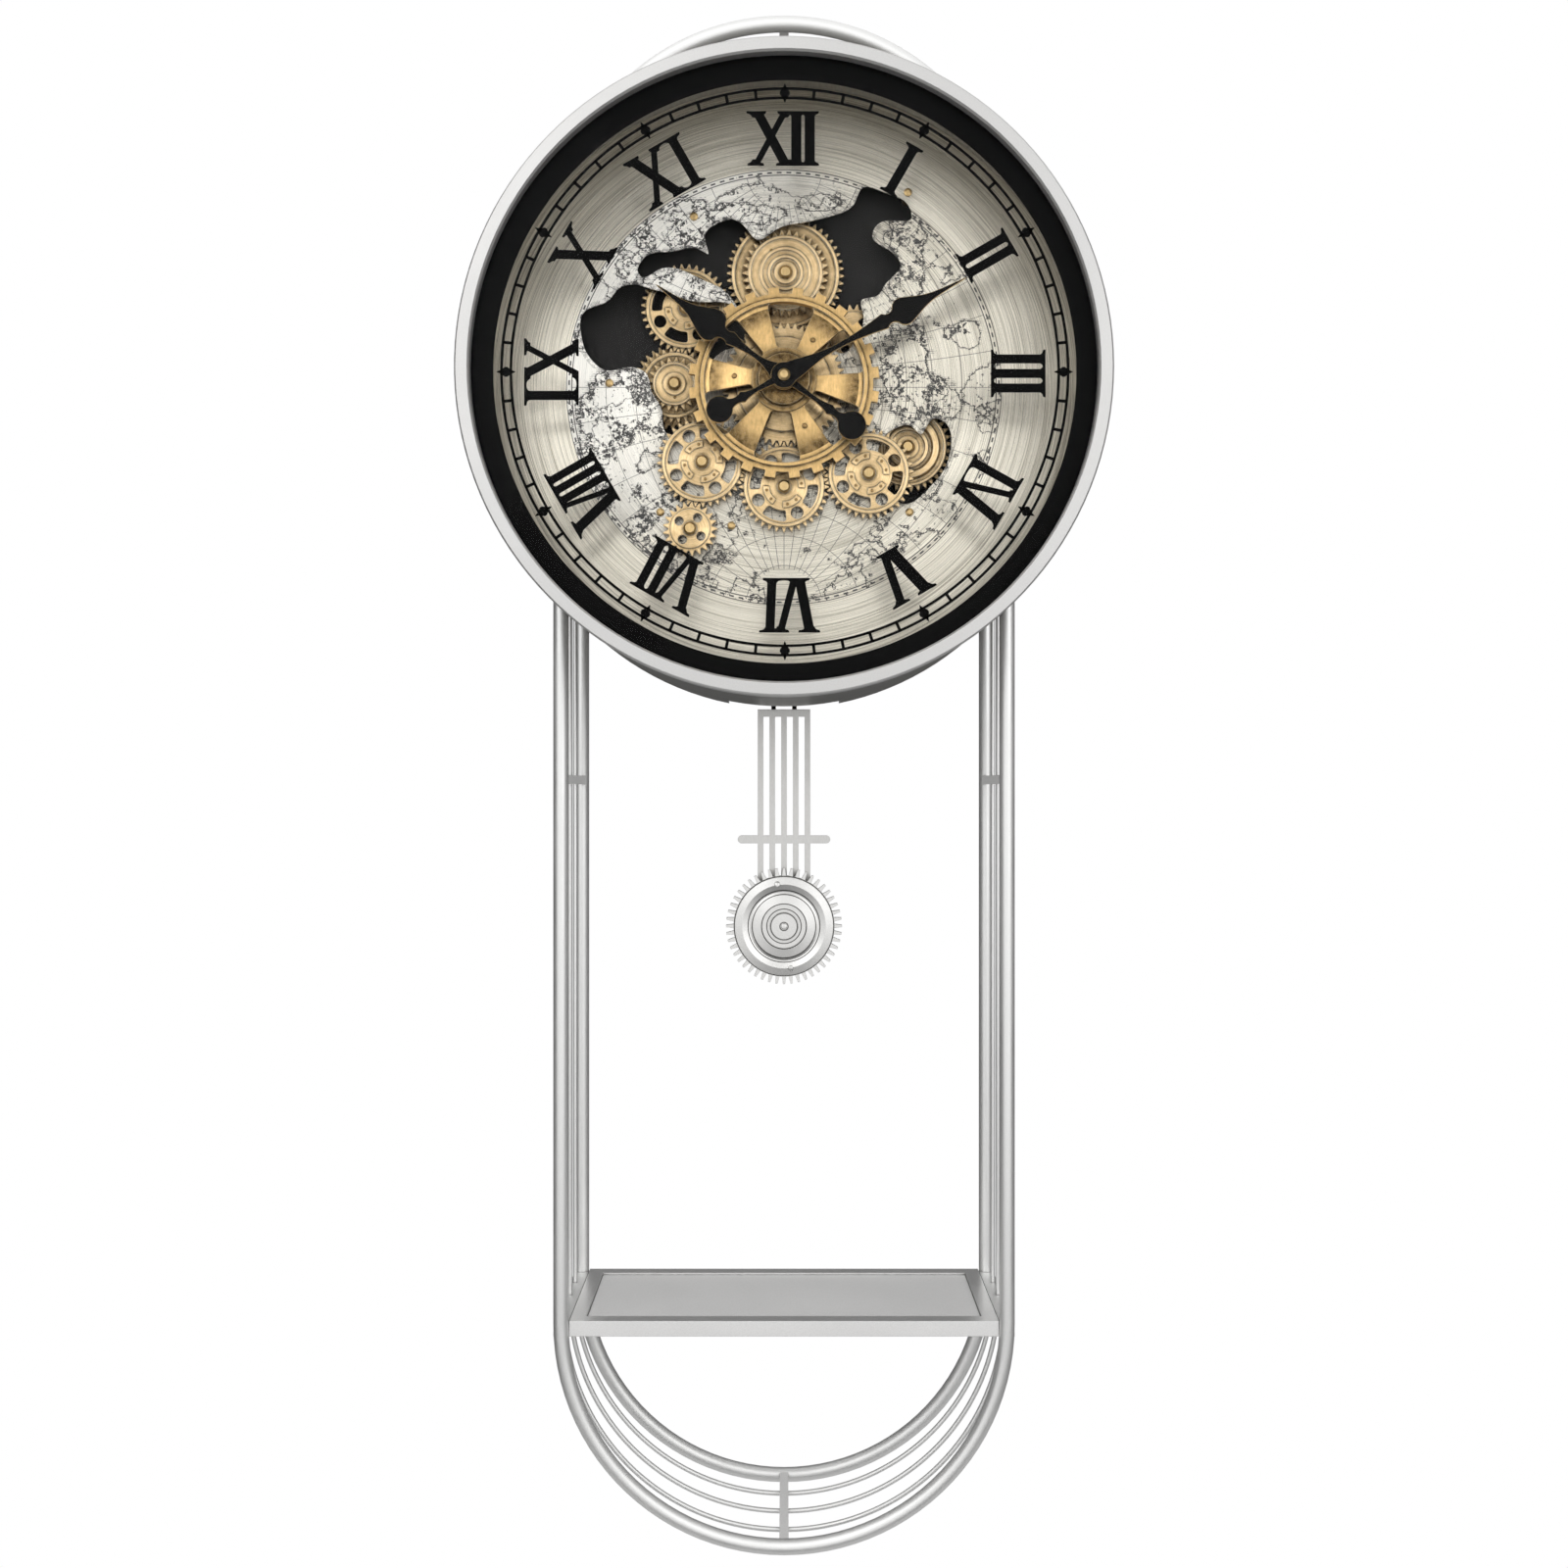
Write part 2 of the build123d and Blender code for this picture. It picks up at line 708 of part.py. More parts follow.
# Left stack: a small dished wheel, a middle wheel and a rear wheel, one on another.
left_rim = ring(
    left_middle.root,
    left_middle.root - left_rim_width,
    middle_wheel_depth - left_rim_raise,
    middle_wheel_depth,
    left_middle.x,
    left_middle.z,
)
left_face = bored(left_middle.outline(), pin_bore)
left_disc = plate(left_face, middle_wheel_depth, middle_wheel_back, left_middle.x, left_middle.z)
left_spacer = ring(boss_radius, pin_bore, middle_wheel_back, rear_wheel_depth, left_rear.x, left_rear.z)
left_rear_face = bored(left_rear.outline(), pin_bore)
left_rear_disc = plate(left_rear_face, rear_wheel_depth, rear_wheel_back, left_rear.x, left_rear.z)
keep("left_wheel_front", ringed_wheel(left_front, small_wheel_depth, small_wheel_thickness, left_front_rings))
keep("left_wheel_middle", left_disc + left_rim)
keep("left_wheel_rear", left_rear_disc + left_spacer)

# Centre: cog wheel and three toothed wheels on one arbor.
arbor_seat = arbor_radius + press_gap
cog_hub_back = cog_hub_depth + cog_hub_thickness
keep("centre_arbor", ring(arbor_radius, arbor_bore, cog_hub_back, rear_wheel_back))
dome = turned(
    [
        (arbor_seat, front_wheel_depth - centre_dome_raise),
        (centre_dome_top_radius, front_wheel_depth - centre_dome_raise),
        (centre_dome_radius, front_wheel_depth - centre_dome_raise / 3),
        (centre_dome_radius, front_wheel_depth),
        (arbor_seat, front_wheel_depth),
    ]
)
centre_face = bored(centre.outline(), arbor_seat)
keep("centre_front_wheel", plate(centre_face, front_wheel_depth, front_wheel_back) + dome)
keep("centre_rear_wheel", plate(centre_face, middle_wheel_depth, middle_wheel_back))
keep("centre_drive_wheel", plate(bored(drive.outline(), arbor_seat), rear_wheel_depth, rear_wheel_back))

cog_lip_radius = cog_inner_radius + cog_lip_width
cog_tooth_length = cog_tip_radius - cog_lip_radius
cog_tooth = Pos(cog_lip_radius + cog_tooth_length / 2, 0) * Rectangle(cog_tooth_length, cog_tooth_width)
cog_face = Circle(cog_root_radius) + spread(cog_tooth, cog_teeth, 0, cog_bearing) - Circle(cog_inner_radius)
cog_wheel = plate(cog_face, cog_depth, cog_depth + cog_thickness)
cog_wheel = cog_wheel + ring(cog_lip_radius, cog_inner_radius, cog_depth - cog_lip_raise, cog_depth)
spoke_foot = cog_inner_radius + cog_lip_width / 2
spoke_cone = turned(
    [
        (cog_hub_step_radius, cog_hub_back - spoke_thickness),
        (spoke_foot, cog_depth),
        (spoke_foot, cog_depth + spoke_thickness),
        (cog_hub_step_radius, cog_hub_back),
    ]
)
spoke_pitch = 360 / spoke_count
window_bearing = spoke_bearing + spoke_pitch / 2
spoke_window = sector(cog_inner_radius, cog_hub_radius, spoke_pitch - spoke_span, window_bearing)
spoke_window = fillet(spoke_window.vertices(), spoke_corner)
spokes = spoke_cone - [plate(opening, 0, plate_depth) for opening in spread(spoke_window, spoke_count, 0)]
cog_wheel = cog_wheel + spokes
cog_hub = turned(
    [
        (arbor_bore, cog_hub_depth),
        (cog_hub_step_radius - cog_hub_step, cog_hub_depth),
        (cog_hub_step_radius, cog_hub_depth + cog_hub_step),
        (cog_hub_step_radius, cog_hub_depth + 2 * cog_hub_step),
        (cog_hub_radius, cog_hub_depth + 2 * cog_hub_step),
        (cog_hub_radius, cog_hub_back),
        (arbor_bore, cog_hub_back),
    ]
)
keep("cog_wheel", cog_wheel + cog_hub)

# Posts: each wheel turns on a stepped post that stands on the plate, with a cap in front.
post_wheels = [
    (bottom, front_wheel_depth, front_wheel_back),
    (lower_left, front_wheel_depth, front_wheel_back),
    (lower_right, front_wheel_depth, front_wheel_back),
    (pierced, front_wheel_depth, front_wheel_back),
    (upper_left, middle_wheel_depth, middle_wheel_back),
    (upper_right, middle_wheel_depth, middle_wheel_back),
    (right, middle_wheel_depth, middle_wheel_back),
    (idler, middle_wheel_depth, middle_wheel_back),
    (top, small_wheel_depth, middle_wheel_back),
    (left_rear, small_wheel_depth, rear_wheel_back),
]
posts = []
caps = []
for wheel, front, back in post_wheels:
    pin_end = front - boss_raise - end_play
    shoulder = back + end_play
    post_profile = [
        (0, pin_end),
        (post_pin_radius, pin_end),
        (post_pin_radius, shoulder),
        (post_radius, shoulder),
        (post_radius, plate_depth),
        (0, plate_depth),
    ]
    cap_profile = [
        (0, pin_end - post_cap_height),
        (post_cap_radius - post_cap_round, pin_end - post_cap_height),
        (post_cap_radius, pin_end - post_cap_height + post_cap_round),
        (post_cap_radius, pin_end),
        (0, pin_end),
    ]
    posts.append(turned(post_profile, wheel.x, wheel.z))
    caps.append(turned(cap_profile, wheel.x, wheel.z))
keep("gear_posts", *posts)
keep("post_caps", *caps)

# Hands

# The spade narrows to its tip: share of the way to the tip, and share of the half width there.
spade_taper = ((0.0, 1.0), (0.12, 0.83), (0.26, 0.54), (0.43, 0.29), (0.68, 0.135), (1.0, 0.0))


def hand_outline(length, spade_at, spade_half, step_at, step_half, bulb_at, bulb_radius):
    # A stepped spade hand along +X: a round hub, an arm that swells to a step, a notch and the
    # spade, and a shorter tail of the same kind that ends in a round bulb.
    tail_step_at = bulb_at - bulb_radius - hand_notch_length
    neck_end = bulb_at - bulb_radius * bulb_neck_share
    tail_notch = ThreePointArc(
        (-neck_end, bulb_radius / 2),
        (-tail_step_at - hand_notch_length / 2, tail_notch_half),
        (-tail_step_at, tail_step_half),
    )
    tail_arm = Spline(
        (-tail_step_at, tail_step_half),
        *[(-tail_step_at * way, hand_waist_half) for way in tail_waist_ways],
        (0, hand_waist_half),
    )
    hub_root = hand_hub_radius * hub_root_share
    hub_side = Line((0, hand_waist_half), (0, hub_root))
    arm = Spline(
        (0, hub_root),
        *[(step_at * way, hand_hub_radius * share) for way, share in hub_sweep],
        (step_at * waist_way, hand_waist_half),
        (step_at * step_swell[0], step_half * step_swell[1]),
        (step_at, step_half),
    )
    spade_base = (step_at + hand_notch_length, spade_half * spade_base_share)
    notch_bend = ThreePointArc(
        (step_at, step_half), (step_at + hand_notch_length / 2, hand_notch_half), spade_base
    )
    rest = length - spade_at
    spade = Spline(spade_base, *[(spade_at + way * rest, share * spade_half) for way, share in spade_taper])
    upper = [tail_notch, tail_arm, hub_side, arm, notch_bend, spade]
    lower = [mirror(edge, about=Plane.XZ) for edge in upper]
    neck = Line((-neck_end, bulb_radius / 2), (-neck_end, -bulb_radius / 2))
    outline = make_face([*upper, *lower, neck])
    return outline + Circle(hand_hub_radius) + Pos(-bulb_at, 0) * Circle(bulb_radius)


def hand(outline, bearing, depth, bore):
    return plate(Rot(0, 0, bearing) * (outline - Circle(bore)), depth, depth + hand_thickness)


hour_bore = hour_pipe_radius + press_gap
minute_bore = minute_shaft_radius + press_gap
shaft_back = plate_back + movement_thickness / 2
minute_outline = hand_outline(
    minute_hand_length,
    minute_spade_at,
    minute_spade_half,
    minute_step_at,
    minute_step_half,
    minute_bulb_at,
    minute_bulb_radius,
)
hour_outline = hand_outline(
    hour_hand_length,
    hour_spade_at,
    hour_spade_half,
    hour_step_at,
    hour_step_half,
    hour_bulb_at,
    hour_bulb_radius,
)
keep("minute_hand", hand(minute_outline, minute_bearing, minute_hand_depth, minute_bore))
keep("hour_hand", hand(hour_outline, hour_bearing, hour_hand_depth, hour_bore))
keep("minute_shaft", disc(minute_shaft_radius, minute_hand_depth, shaft_back))
keep("hour_pipe", ring(hour_pipe_radius, minute_shaft_radius + running_fit, hour_hand_depth, shaft_back))
keep(
    "hand_nut",
    turned(
        [
            (0, minute_hand_depth - nut_height),
            (nut_radius * nut_dome[0], minute_hand_depth - nut_height * nut_dome[1]),
            (nut_radius, minute_hand_depth - nut_height * nut_shoulder),
            (nut_radius, minute_hand_depth),
            (0, minute_hand_depth),
        ]
    ),
)
keep("centre_bush", ring(bush_radius, bush_bore, bush_front_depth, plate_back))

# Drives behind the plate

def rounded_case(width, height, front, back, x, z):
    return plate(RectangleRounded(width, height, case_round), front, back, x, z)


def trough(x, z, depth, length):
    # The space of one cell, lying level, open to the back.
    bed = Pos(x, y_at(depth), z) * Rot(0, 90, 0) * Cylinder(cell_radius + cell_gap, length)
    mouth_depth = 2 * cell_radius
    mouth = Pos(x, y_at(depth) + mouth_depth / 2, z) * Box(length, mouth_depth, 2 * (cell_radius + cell_gap))
    return bed + mouth


def cell(x, z, depth):
    # A dry cell with its small end cap.
    body = Cylinder(cell_radius, cell_length - cell_nub_length)
    nub = Pos(0, 0, cell_length / 2) * Cylinder(cell_nub_radius, cell_nub_length)
    return Pos(x, y_at(depth), z) * Rot(0, 90, 0) * (body + nub)


movement_back = plate_back + movement_thickness
movement_cell_z = -movement_size / 2 + cell_radius + cell_wall
movement_cell_depth = movement_back - cell_sink
trough_length = cell_length + 2 * cell_end_gap
movement_box = rounded_case(movement_size, movement_size, plate_back, movement_back, 0, 0)
movement_box = movement_box - trough(0, movement_cell_z, movement_cell_depth, trough_length)
movement_box = movement_box - disc(hour_pipe_radius + running_fit, 0, shaft_back)
knob_seat = movement_back - knob_stem_depth
movement_box = movement_box - disc(
    knob_stem_radius + running_fit, knob_seat, movement_back, knob_offset_x, knob_offset_z
)
keep("quartz_movement", movement_box)
keep("movement_cell", cell(0, movement_cell_z, movement_cell_depth))
knob_root = knob_radius - knob_rib_depth
knob_grip = toothed(knob_ribs, knob_radius, knob_root, knob_rib_tip_half, knob_rib_root_half, 0)
knob_front = movement_back + end_play
knob = plate(knob_grip, knob_front, knob_front + knob_height, knob_offset_x, knob_offset_z)
knob_stem = disc(knob_stem_radius, knob_seat + end_play, knob_front, knob_offset_x, knob_offset_z)
keep("set_knob", knob + knob_stem)

motor_back = plate_back + motor_thickness
motor_box_x = motor.x + motor_width / 2 - cell_radius
motor_box_z = motor.z - motor_height / 2 + cell_radius
motor_cell_depth = motor_back - cell_sink
motor_cell_rise = cell_radius + cell_spacing / 2
motor_cells = [motor_box_z - motor_cell_rise, motor_box_z + motor_cell_rise]
motor_shaft_end = plate_back + motor_shaft_reach
motor_box = rounded_case(motor_width, motor_height, plate_back, motor_back, motor_box_x, motor_box_z)
for z in motor_cells:
    motor_box = motor_box - trough(motor_box_x, z, motor_cell_depth, trough_length)
motor_bore = motor_shaft_radius + running_fit
motor_box = motor_box - disc(motor_bore, plate_back, motor_shaft_end + motor_shaft_gap, motor.x, motor.z)
keep("gear_motor", motor_box)
keep("motor_cells", *[cell(motor_box_x, z, motor_cell_depth) for z in motor_cells])
motor_pinion = plate(motor.outline(), rear_wheel_depth, rear_wheel_back, motor.x, motor.z)
motor_shaft = disc(motor_shaft_radius, rear_wheel_back, motor_shaft_end, motor.x, motor.z)
keep("motor_pinion", motor_pinion + motor_shaft)

# Pendulum

pivot_z = pivot_above_drum_floor - drum_radius
grid_front = pendulum_depth - grid_thickness / 2
grid_back = pendulum_depth + grid_thickness / 2
hanger_back = grid_back + hanger_plate_thickness
drive_front_depth = drive_back_depth - drive_thickness
drive_top = pivot_z + pivot_below_drive_top
drive_z = drive_top - drive_height / 2
drive_box = rounded_case(drive_width, drive_height, drive_front_depth, drive_back_depth, 0, drive_z)
pivot_head = hanger_back + end_play
pivot_pin = disc(pivot_radius, drive_back_depth, pivot_head, 0, pivot_z)
pivot_pin = pivot_pin + disc(pivot_head_radius, pivot_head, pivot_head + pivot_head_height, 0, pivot_z)
pivot_pin = pivot_pin + disc(pivot_head_radius, drive_back_depth, grid_back - end_play, 0, pivot_z)
keep("pendulum_drive", drive_box + pivot_pin)

# The bracket plate stands on the drum's floor and reaches to the middle of the drive.
bracket_drop = drum_radius + drive_z
bracket_face = Pos(0, drive_z - bracket_drop / 2) * Rectangle(drive_width, bracket_drop)
bracket_face = bracket_face & Circle(drum_inside - slip_fit)
keep("drive_bracket", plate(bracket_face, drive_front_depth - drive_bracket_thickness, drive_front_depth))

grid_top = -drum_radius - grid_top_below_drum
hanger_top = pivot_z + hanger_above_pivot
hanger_bottom = grid_top - top_bar_height
hanger_mid = (hanger_top + hanger_bottom) / 2
hanger_leaf = Pos(0, hanger_mid) * RectangleRounded(hanger_width, hanger_top - hanger_bottom, hanger_corner)
slit_height = pivot_z - hanger_slit_below_pivot - hanger_bottom
hanger_leaf = hanger_leaf - Pos(0, hanger_bottom) * Rectangle(hanger_slit, 2 * slit_height)
hanger_leaf = hanger_leaf - Pos(0, pivot_z) * Circle(pivot_radius + running_fit)
keep("pendulum_hanger", plate(hanger_leaf, grid_back, hanger_back))

grid_width = (rod_count - 1) * rod_pitch + rod_width
bob_z = -drum_radius - bob_below_drum
cross_z = -drum_radius - cross_bar_below_drum
rod_end = bob_z + bob_root_radius - rod_overlap
top_bar = Pos(0, grid_top - top_bar_height / 2) * Rectangle(grid_width, top_bar_height)
cross_bar = Pos(0, cross_z) * SlotOverall(cross_bar_width, cross_bar_height)
grid_face = top_bar + cross_bar
for i in range(rod_count):
    rod_x = (i - (rod_count - 1) / 2) * rod_pitch
    grid_face = grid_face + Pos(rod_x, (grid_top + rod_end) / 2) * Rectangle(rod_width, grid_top - rod_end)
keep("pendulum_grid", plate(grid_face, grid_front, grid_back))

bob_front = grid_front - bob_thickness
bob_outline = toothed(bob_teeth, bob_tip_radius, bob_root_radius, bob_tooth_tip_half, bob_tooth_root_half, 0)
keep("bob_wheel", plate(bob_outline, bob_front, grid_front, 0, bob_z))
bob_face = turned(
    [
        (0, bob_front),
        (bob_dish_radius, bob_front),
        (bob_dish_radius, bob_front - bob_rim_height),
        ((bob_dish_radius + bob_ring_radius) / 2, bob_front - bob_swell_height),
        (bob_ring_radius, bob_front - bob_groove_height),
        (bob_ring_radius - bob_groove_width, bob_front - bob_flat_height),
        (bob_step_radius, bob_front - bob_step_height),
        (bob_step_radius, bob_front - bob_flat_height),
        (bob_cap_radius, bob_front - bob_flat_height),
        (bob_cap_radius, bob_front - bob_cap_height),
        (0, bob_front - bob_cap_height - bob_cap_crown),
    ],
    0,
    bob_z,
)
keep("bob_face", bob_face)

os.makedirs("parts", exist_ok=True)
for name, shape in solids.items():
    export_step(shape, f"parts/{name}.step")
    print(name, len(shape.solids()), "solids")
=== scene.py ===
import json
from functools import partial
from math import pi, radians

import bmesh
import bpy
import numpy as np
from mathutils.bvhtree import BVHTree
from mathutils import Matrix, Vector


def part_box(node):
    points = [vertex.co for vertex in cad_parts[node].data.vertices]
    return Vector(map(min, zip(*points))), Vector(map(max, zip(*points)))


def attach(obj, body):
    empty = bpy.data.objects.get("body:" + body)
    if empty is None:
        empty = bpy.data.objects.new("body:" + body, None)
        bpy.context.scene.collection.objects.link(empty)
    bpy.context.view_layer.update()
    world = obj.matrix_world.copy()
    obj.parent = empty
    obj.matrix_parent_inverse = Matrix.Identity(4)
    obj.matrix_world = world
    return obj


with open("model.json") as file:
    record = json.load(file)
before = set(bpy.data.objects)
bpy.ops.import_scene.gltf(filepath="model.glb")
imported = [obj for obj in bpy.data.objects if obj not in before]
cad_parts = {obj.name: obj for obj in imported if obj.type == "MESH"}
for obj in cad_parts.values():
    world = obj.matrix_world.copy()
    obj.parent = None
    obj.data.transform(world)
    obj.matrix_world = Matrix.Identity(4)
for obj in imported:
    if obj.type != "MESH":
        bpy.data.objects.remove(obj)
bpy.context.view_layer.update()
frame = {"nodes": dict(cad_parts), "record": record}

nodes = frame["nodes"]
scene = bpy.context.scene
scene.view_settings.view_transform = "Standard"
slotOf = {row["node"]: row["material_slot"] for row in frame["record"]["subparts"]}
mm = 0.001
toMm = 1000.0
axisHeight = -0.150  # height of the dial's middle below the hanging point
faceDepth = -0.180  # place of the bezel's front along the depth
dialMiddle = (0.0, 0.0, axisHeight)
flatten = (1.0, 0.0, 1.0)  # keeps only what lies across the dial
print("frame loaded:", len(nodes), "nodes")

cameraSet = {"place": (0.0, -1.160, -0.4076), "lens": 36.9, "sensor": 36.0, "shift": 0.0025, "near": 0.01}
camera = bpy.data.cameras.new("shelfClockCamera")
camera.lens = cameraSet["lens"]
camera.sensor_width = cameraSet["sensor"]
camera.shift_y = cameraSet["shift"]
camera.clip_start = cameraSet["near"]
cameraObject = bpy.data.objects.new("shelfClockCamera", camera)
cameraObject.location = cameraSet["place"]
cameraObject.rotation_euler = (pi / 2, 0.0, 0.0)
scene.collection.objects.link(cameraObject)
scene.camera = cameraObject


# small helpers for node trees: a value may be a number, a tuple or another node's socket;
# a colour is given as three numbers
def feed(tree, value, socket):
    if isinstance(value, bpy.types.NodeSocket):
        tree.links.new(value, socket)
    elif value is not None:
        socket.default_value = (*value, 1.0) if socket.type == "RGBA" else value


def calc(tree, operation, a, b=None, clamp=False):
    node = tree.nodes.new("ShaderNodeMath")
    node.operation = operation
    node.use_clamp = clamp
    feed(tree, a, node.inputs[0])
    feed(tree, b, node.inputs[1])
    return node.outputs[0]


def vectorCalc(tree, operation, a, b=None):
    node = tree.nodes.new("ShaderNodeVectorMath")
    node.operation = operation
    feed(tree, a, node.inputs[0])
    feed(tree, b, node.inputs[1])
    return node.outputs["Value" if operation in ("LENGTH", "DOT_PRODUCT") else "Vector"]


def splitVector(tree, vector):
    node = tree.nodes.new("ShaderNodeSeparateXYZ")
    feed(tree, vector, node.inputs[0])
    return node.outputs


def ramp(tree, value, low, high, start=0.0, end=1.0):
    node = tree.nodes.new("ShaderNodeMapRange")
    node.interpolation_type = "SMOOTHSTEP"
    labels = ("Value", "From Min", "From Max", "To Min", "To Max")
    for label, number in zip(labels, (value, low, high, start, end)):
        feed(tree, number, node.inputs[label])
    return node.outputs["Result"]


def blendColour(tree, share, first, second):
    node = tree.nodes.new("ShaderNodeMix")
    node.data_type = "RGBA"
    feed(tree, share, node.inputs[0])
    feed(tree, first, node.inputs[6])
    feed(tree, second, node.inputs[7])
    return node.outputs[2]


def noise(tree, vector, scale, detail, rough=0.55):
    node = tree.nodes.new("ShaderNodeTexNoise")
    feed(tree, vector, node.inputs["Vector"])
    feed(tree, scale, node.inputs["Scale"])
    feed(tree, detail, node.inputs["Detail"])
    feed(tree, rough, node.inputs["Roughness"])
    return node.outputs["Fac"]


def objectPlace(tree, middle=(0.0, 0.0, 0.0)):
    node = tree.nodes.new("ShaderNodeTexCoord")
    return vectorCalc(tree, "SUBTRACT", node.outputs["Object"], middle)


# distance in mm from a middle, seen from the front
def radiusMm(tree, spot):
    return vectorCalc(tree, "LENGTH", vectorCalc(tree, "MULTIPLY", spot, (toMm, 0.0, toMm)))


def gapTo(tree, value, level):
    return calc(tree, "ABSOLUTE", calc(tree, "SUBTRACT", value, level))


def lineMask(tree, gap, half):
    return ramp(tree, gap, 0.5 * half, 1.5 * half, 1.0, 0.0)


def most(tree, values):
    top = values[0]
    for value in values[1:]:
        top = calc(tree, "MAXIMUM", top, value)
    return top


# a new group, with the name and kind of each socket
def startGroup(name, inputs, outputs):
    tree = bpy.data.node_groups.new(name, "ShaderNodeTree")
    for way, sockets in (("INPUT", inputs), ("OUTPUT", outputs)):
        for label, kind in sockets.items():
            tree.interface.new_socket(label, in_out=way, socket_type="NodeSocket" + kind)
    return tree, tree.nodes.new("NodeGroupInput").outputs, tree.nodes.new("NodeGroupOutput").inputs


def place(tree, group, **values):
    node = tree.nodes.new("ShaderNodeGroup")
    node.node_tree = group
    for label, value in values.items():
        feed(tree, value, node.inputs[label])
    return node.outputs


# shared effects; each noise is given as scale, detail and roughness
grainSet = {"Lines": (1.0, 4.0, 0.65), "Fine": (4.3, 2.0, 0.6)}
turnedDrift = 1.1  # how fast turned lines change round their middle
cloudSet = {"noise": (14.0, 4.0, 0.6), "ramp": (0.3, 0.7)}
wearSet = {"noise": (220.0, 4.0, 0.65), "ramp": (0.3, 0.7, 0.62, 1.0)}

# brush lines: noise drawn out along one direction, as fine as the two other stretches
brushLines, got, give = startGroup(
    "brushLines",
    {"Vector": "Vector", "Stretch": "Vector"},
    {"Lines": "Float", "Fine": "Float"},
)
drawn = vectorCalc(brushLines, "MULTIPLY", got["Vector"], got["Stretch"])
for label, form in grainSet.items():
    feed(brushLines, noise(brushLines, drawn, *form), give[label])

# turned lines: noise drawn out round a middle, from the radius and the sine and cosine of the bearing
turnedLines, got, give = startGroup(
    "turnedLines",
    {"Vector": "Vector", "Count": "Float"},
    {"Lines": "Float", "Fine": "Float"},
)
spin = partial(calc, turnedLines)
parts = splitVector(turnedLines, got["Vector"])
bearing = spin("ARCTAN2", parts["Z"], parts["X"])
radius = vectorCalc(turnedLines, "LENGTH", vectorCalc(turnedLines, "MULTIPLY", got["Vector"], flatten))
drawn = turnedLines.nodes.new("ShaderNodeCombineXYZ")
feed(turnedLines, spin("MULTIPLY", radius, got["Count"]), drawn.inputs["X"])
feed(turnedLines, spin("MULTIPLY", spin("SINE", bearing), turnedDrift), drawn.inputs["Y"])
feed(turnedLines, spin("MULTIPLY", spin("COSINE", bearing), turnedDrift), drawn.inputs["Z"])
for label, form in grainSet.items():
    feed(turnedLines, noise(turnedLines, drawn.outputs[0], *form), give[label])

# clouds: slow change over a surface between two numbers, for handling marks and uneven polish
cloudVary, got, give = startGroup(
    "cloudVary",
    {"Vector": "Vector", "Low": "Float", "High": "Float"},
    {"Value": "Float"},
)
slow = noise(cloudVary, got["Vector"], *cloudSet["noise"])
feed(cloudVary, ramp(cloudVary, slow, *cloudSet["ramp"], got["Low"], got["High"]), give["Value"])

# wear and painted light: rubbed edges lighter, partly a painted highlight; hollows darker, partly patina on
# the brass and partly painted shade; both broken up by noise
wearAndPaintedLight, got, give = startGroup(
    "wearAndPaintedLight",
    {"Vector": "Vector", "Base": "Color", "EdgeTint": "Color", "HollowTint": "Color",
     "Edge": "Float", "Hollow": "Float"},
    {"Color": "Color"},
)
patch = ramp(wearAndPaintedLight, noise(wearAndPaintedLight, got["Vector"], *wearSet["noise"]), *wearSet["ramp"])
darkShare = calc(wearAndPaintedLight, "MULTIPLY", got["Hollow"], patch, clamp=True)
edgeShare = calc(wearAndPaintedLight, "MULTIPLY", got["Edge"], patch, clamp=True)
stainedAndShaded = blendColour(wearAndPaintedLight, darkShare, got["Base"], got["HollowTint"])
feed(wearAndPaintedLight, blendColour(wearAndPaintedLight, edgeShare, stainedAndShaded, got["EdgeTint"]), give["Color"])
print("shared effects ready")

sampleSet = {"bevel": 4, "hollowShade": 8}  # rays for each rounded edge and for the painted shade in each recess


def startFinish(name, metallic=1.0):
    finish = bpy.data.materials.new(name)
    finish.use_nodes = True
    tree = finish.node_tree
    sockets = tree.nodes["Principled BSDF"].inputs
    sockets["Metallic"].default_value = metallic
    return finish, tree, sockets


def roundedNormal(tree, radius):
    node = tree.nodes.new("ShaderNodeBevel")
    node.samples = sampleSet["bevel"]
    feed(tree, radius, node.inputs["Radius"])
    return node.outputs["Normal"]


def edgeMask(tree, normal, low=0.02, high=0.25):
    flat = tree.nodes.new("ShaderNodeNewGeometry").outputs["True Normal"]
    turned = calc(tree, "SUBTRACT", 1.0, vectorCalc(tree, "DOT_PRODUCT", flat, normal))
    return ramp(tree, turned, low, high)


# painted shade: darker where other surfaces stand near, from ambient occlusion
def hollowShadeMask(tree, reach, low, high):
    node = tree.nodes.new("ShaderNodeAmbientOcclusion")
    node.samples = sampleSet["hollowShade"]
    feed(tree, reach, node.inputs["Distance"])
    return ramp(tree, node.outputs["AO"], low, high, 1.0, 0.0)


def bump(tree, height, strength, depth, normal=None):
    node = tree.nodes.new("ShaderNodeBump")
    feed(tree, strength, node.inputs["Strength"])
    feed(tree, depth, node.inputs["Distance"])
    feed(tree, height, node.inputs["Height"])
    feed(tree, normal, node.inputs["Normal"])
    return node.outputs["Normal"]
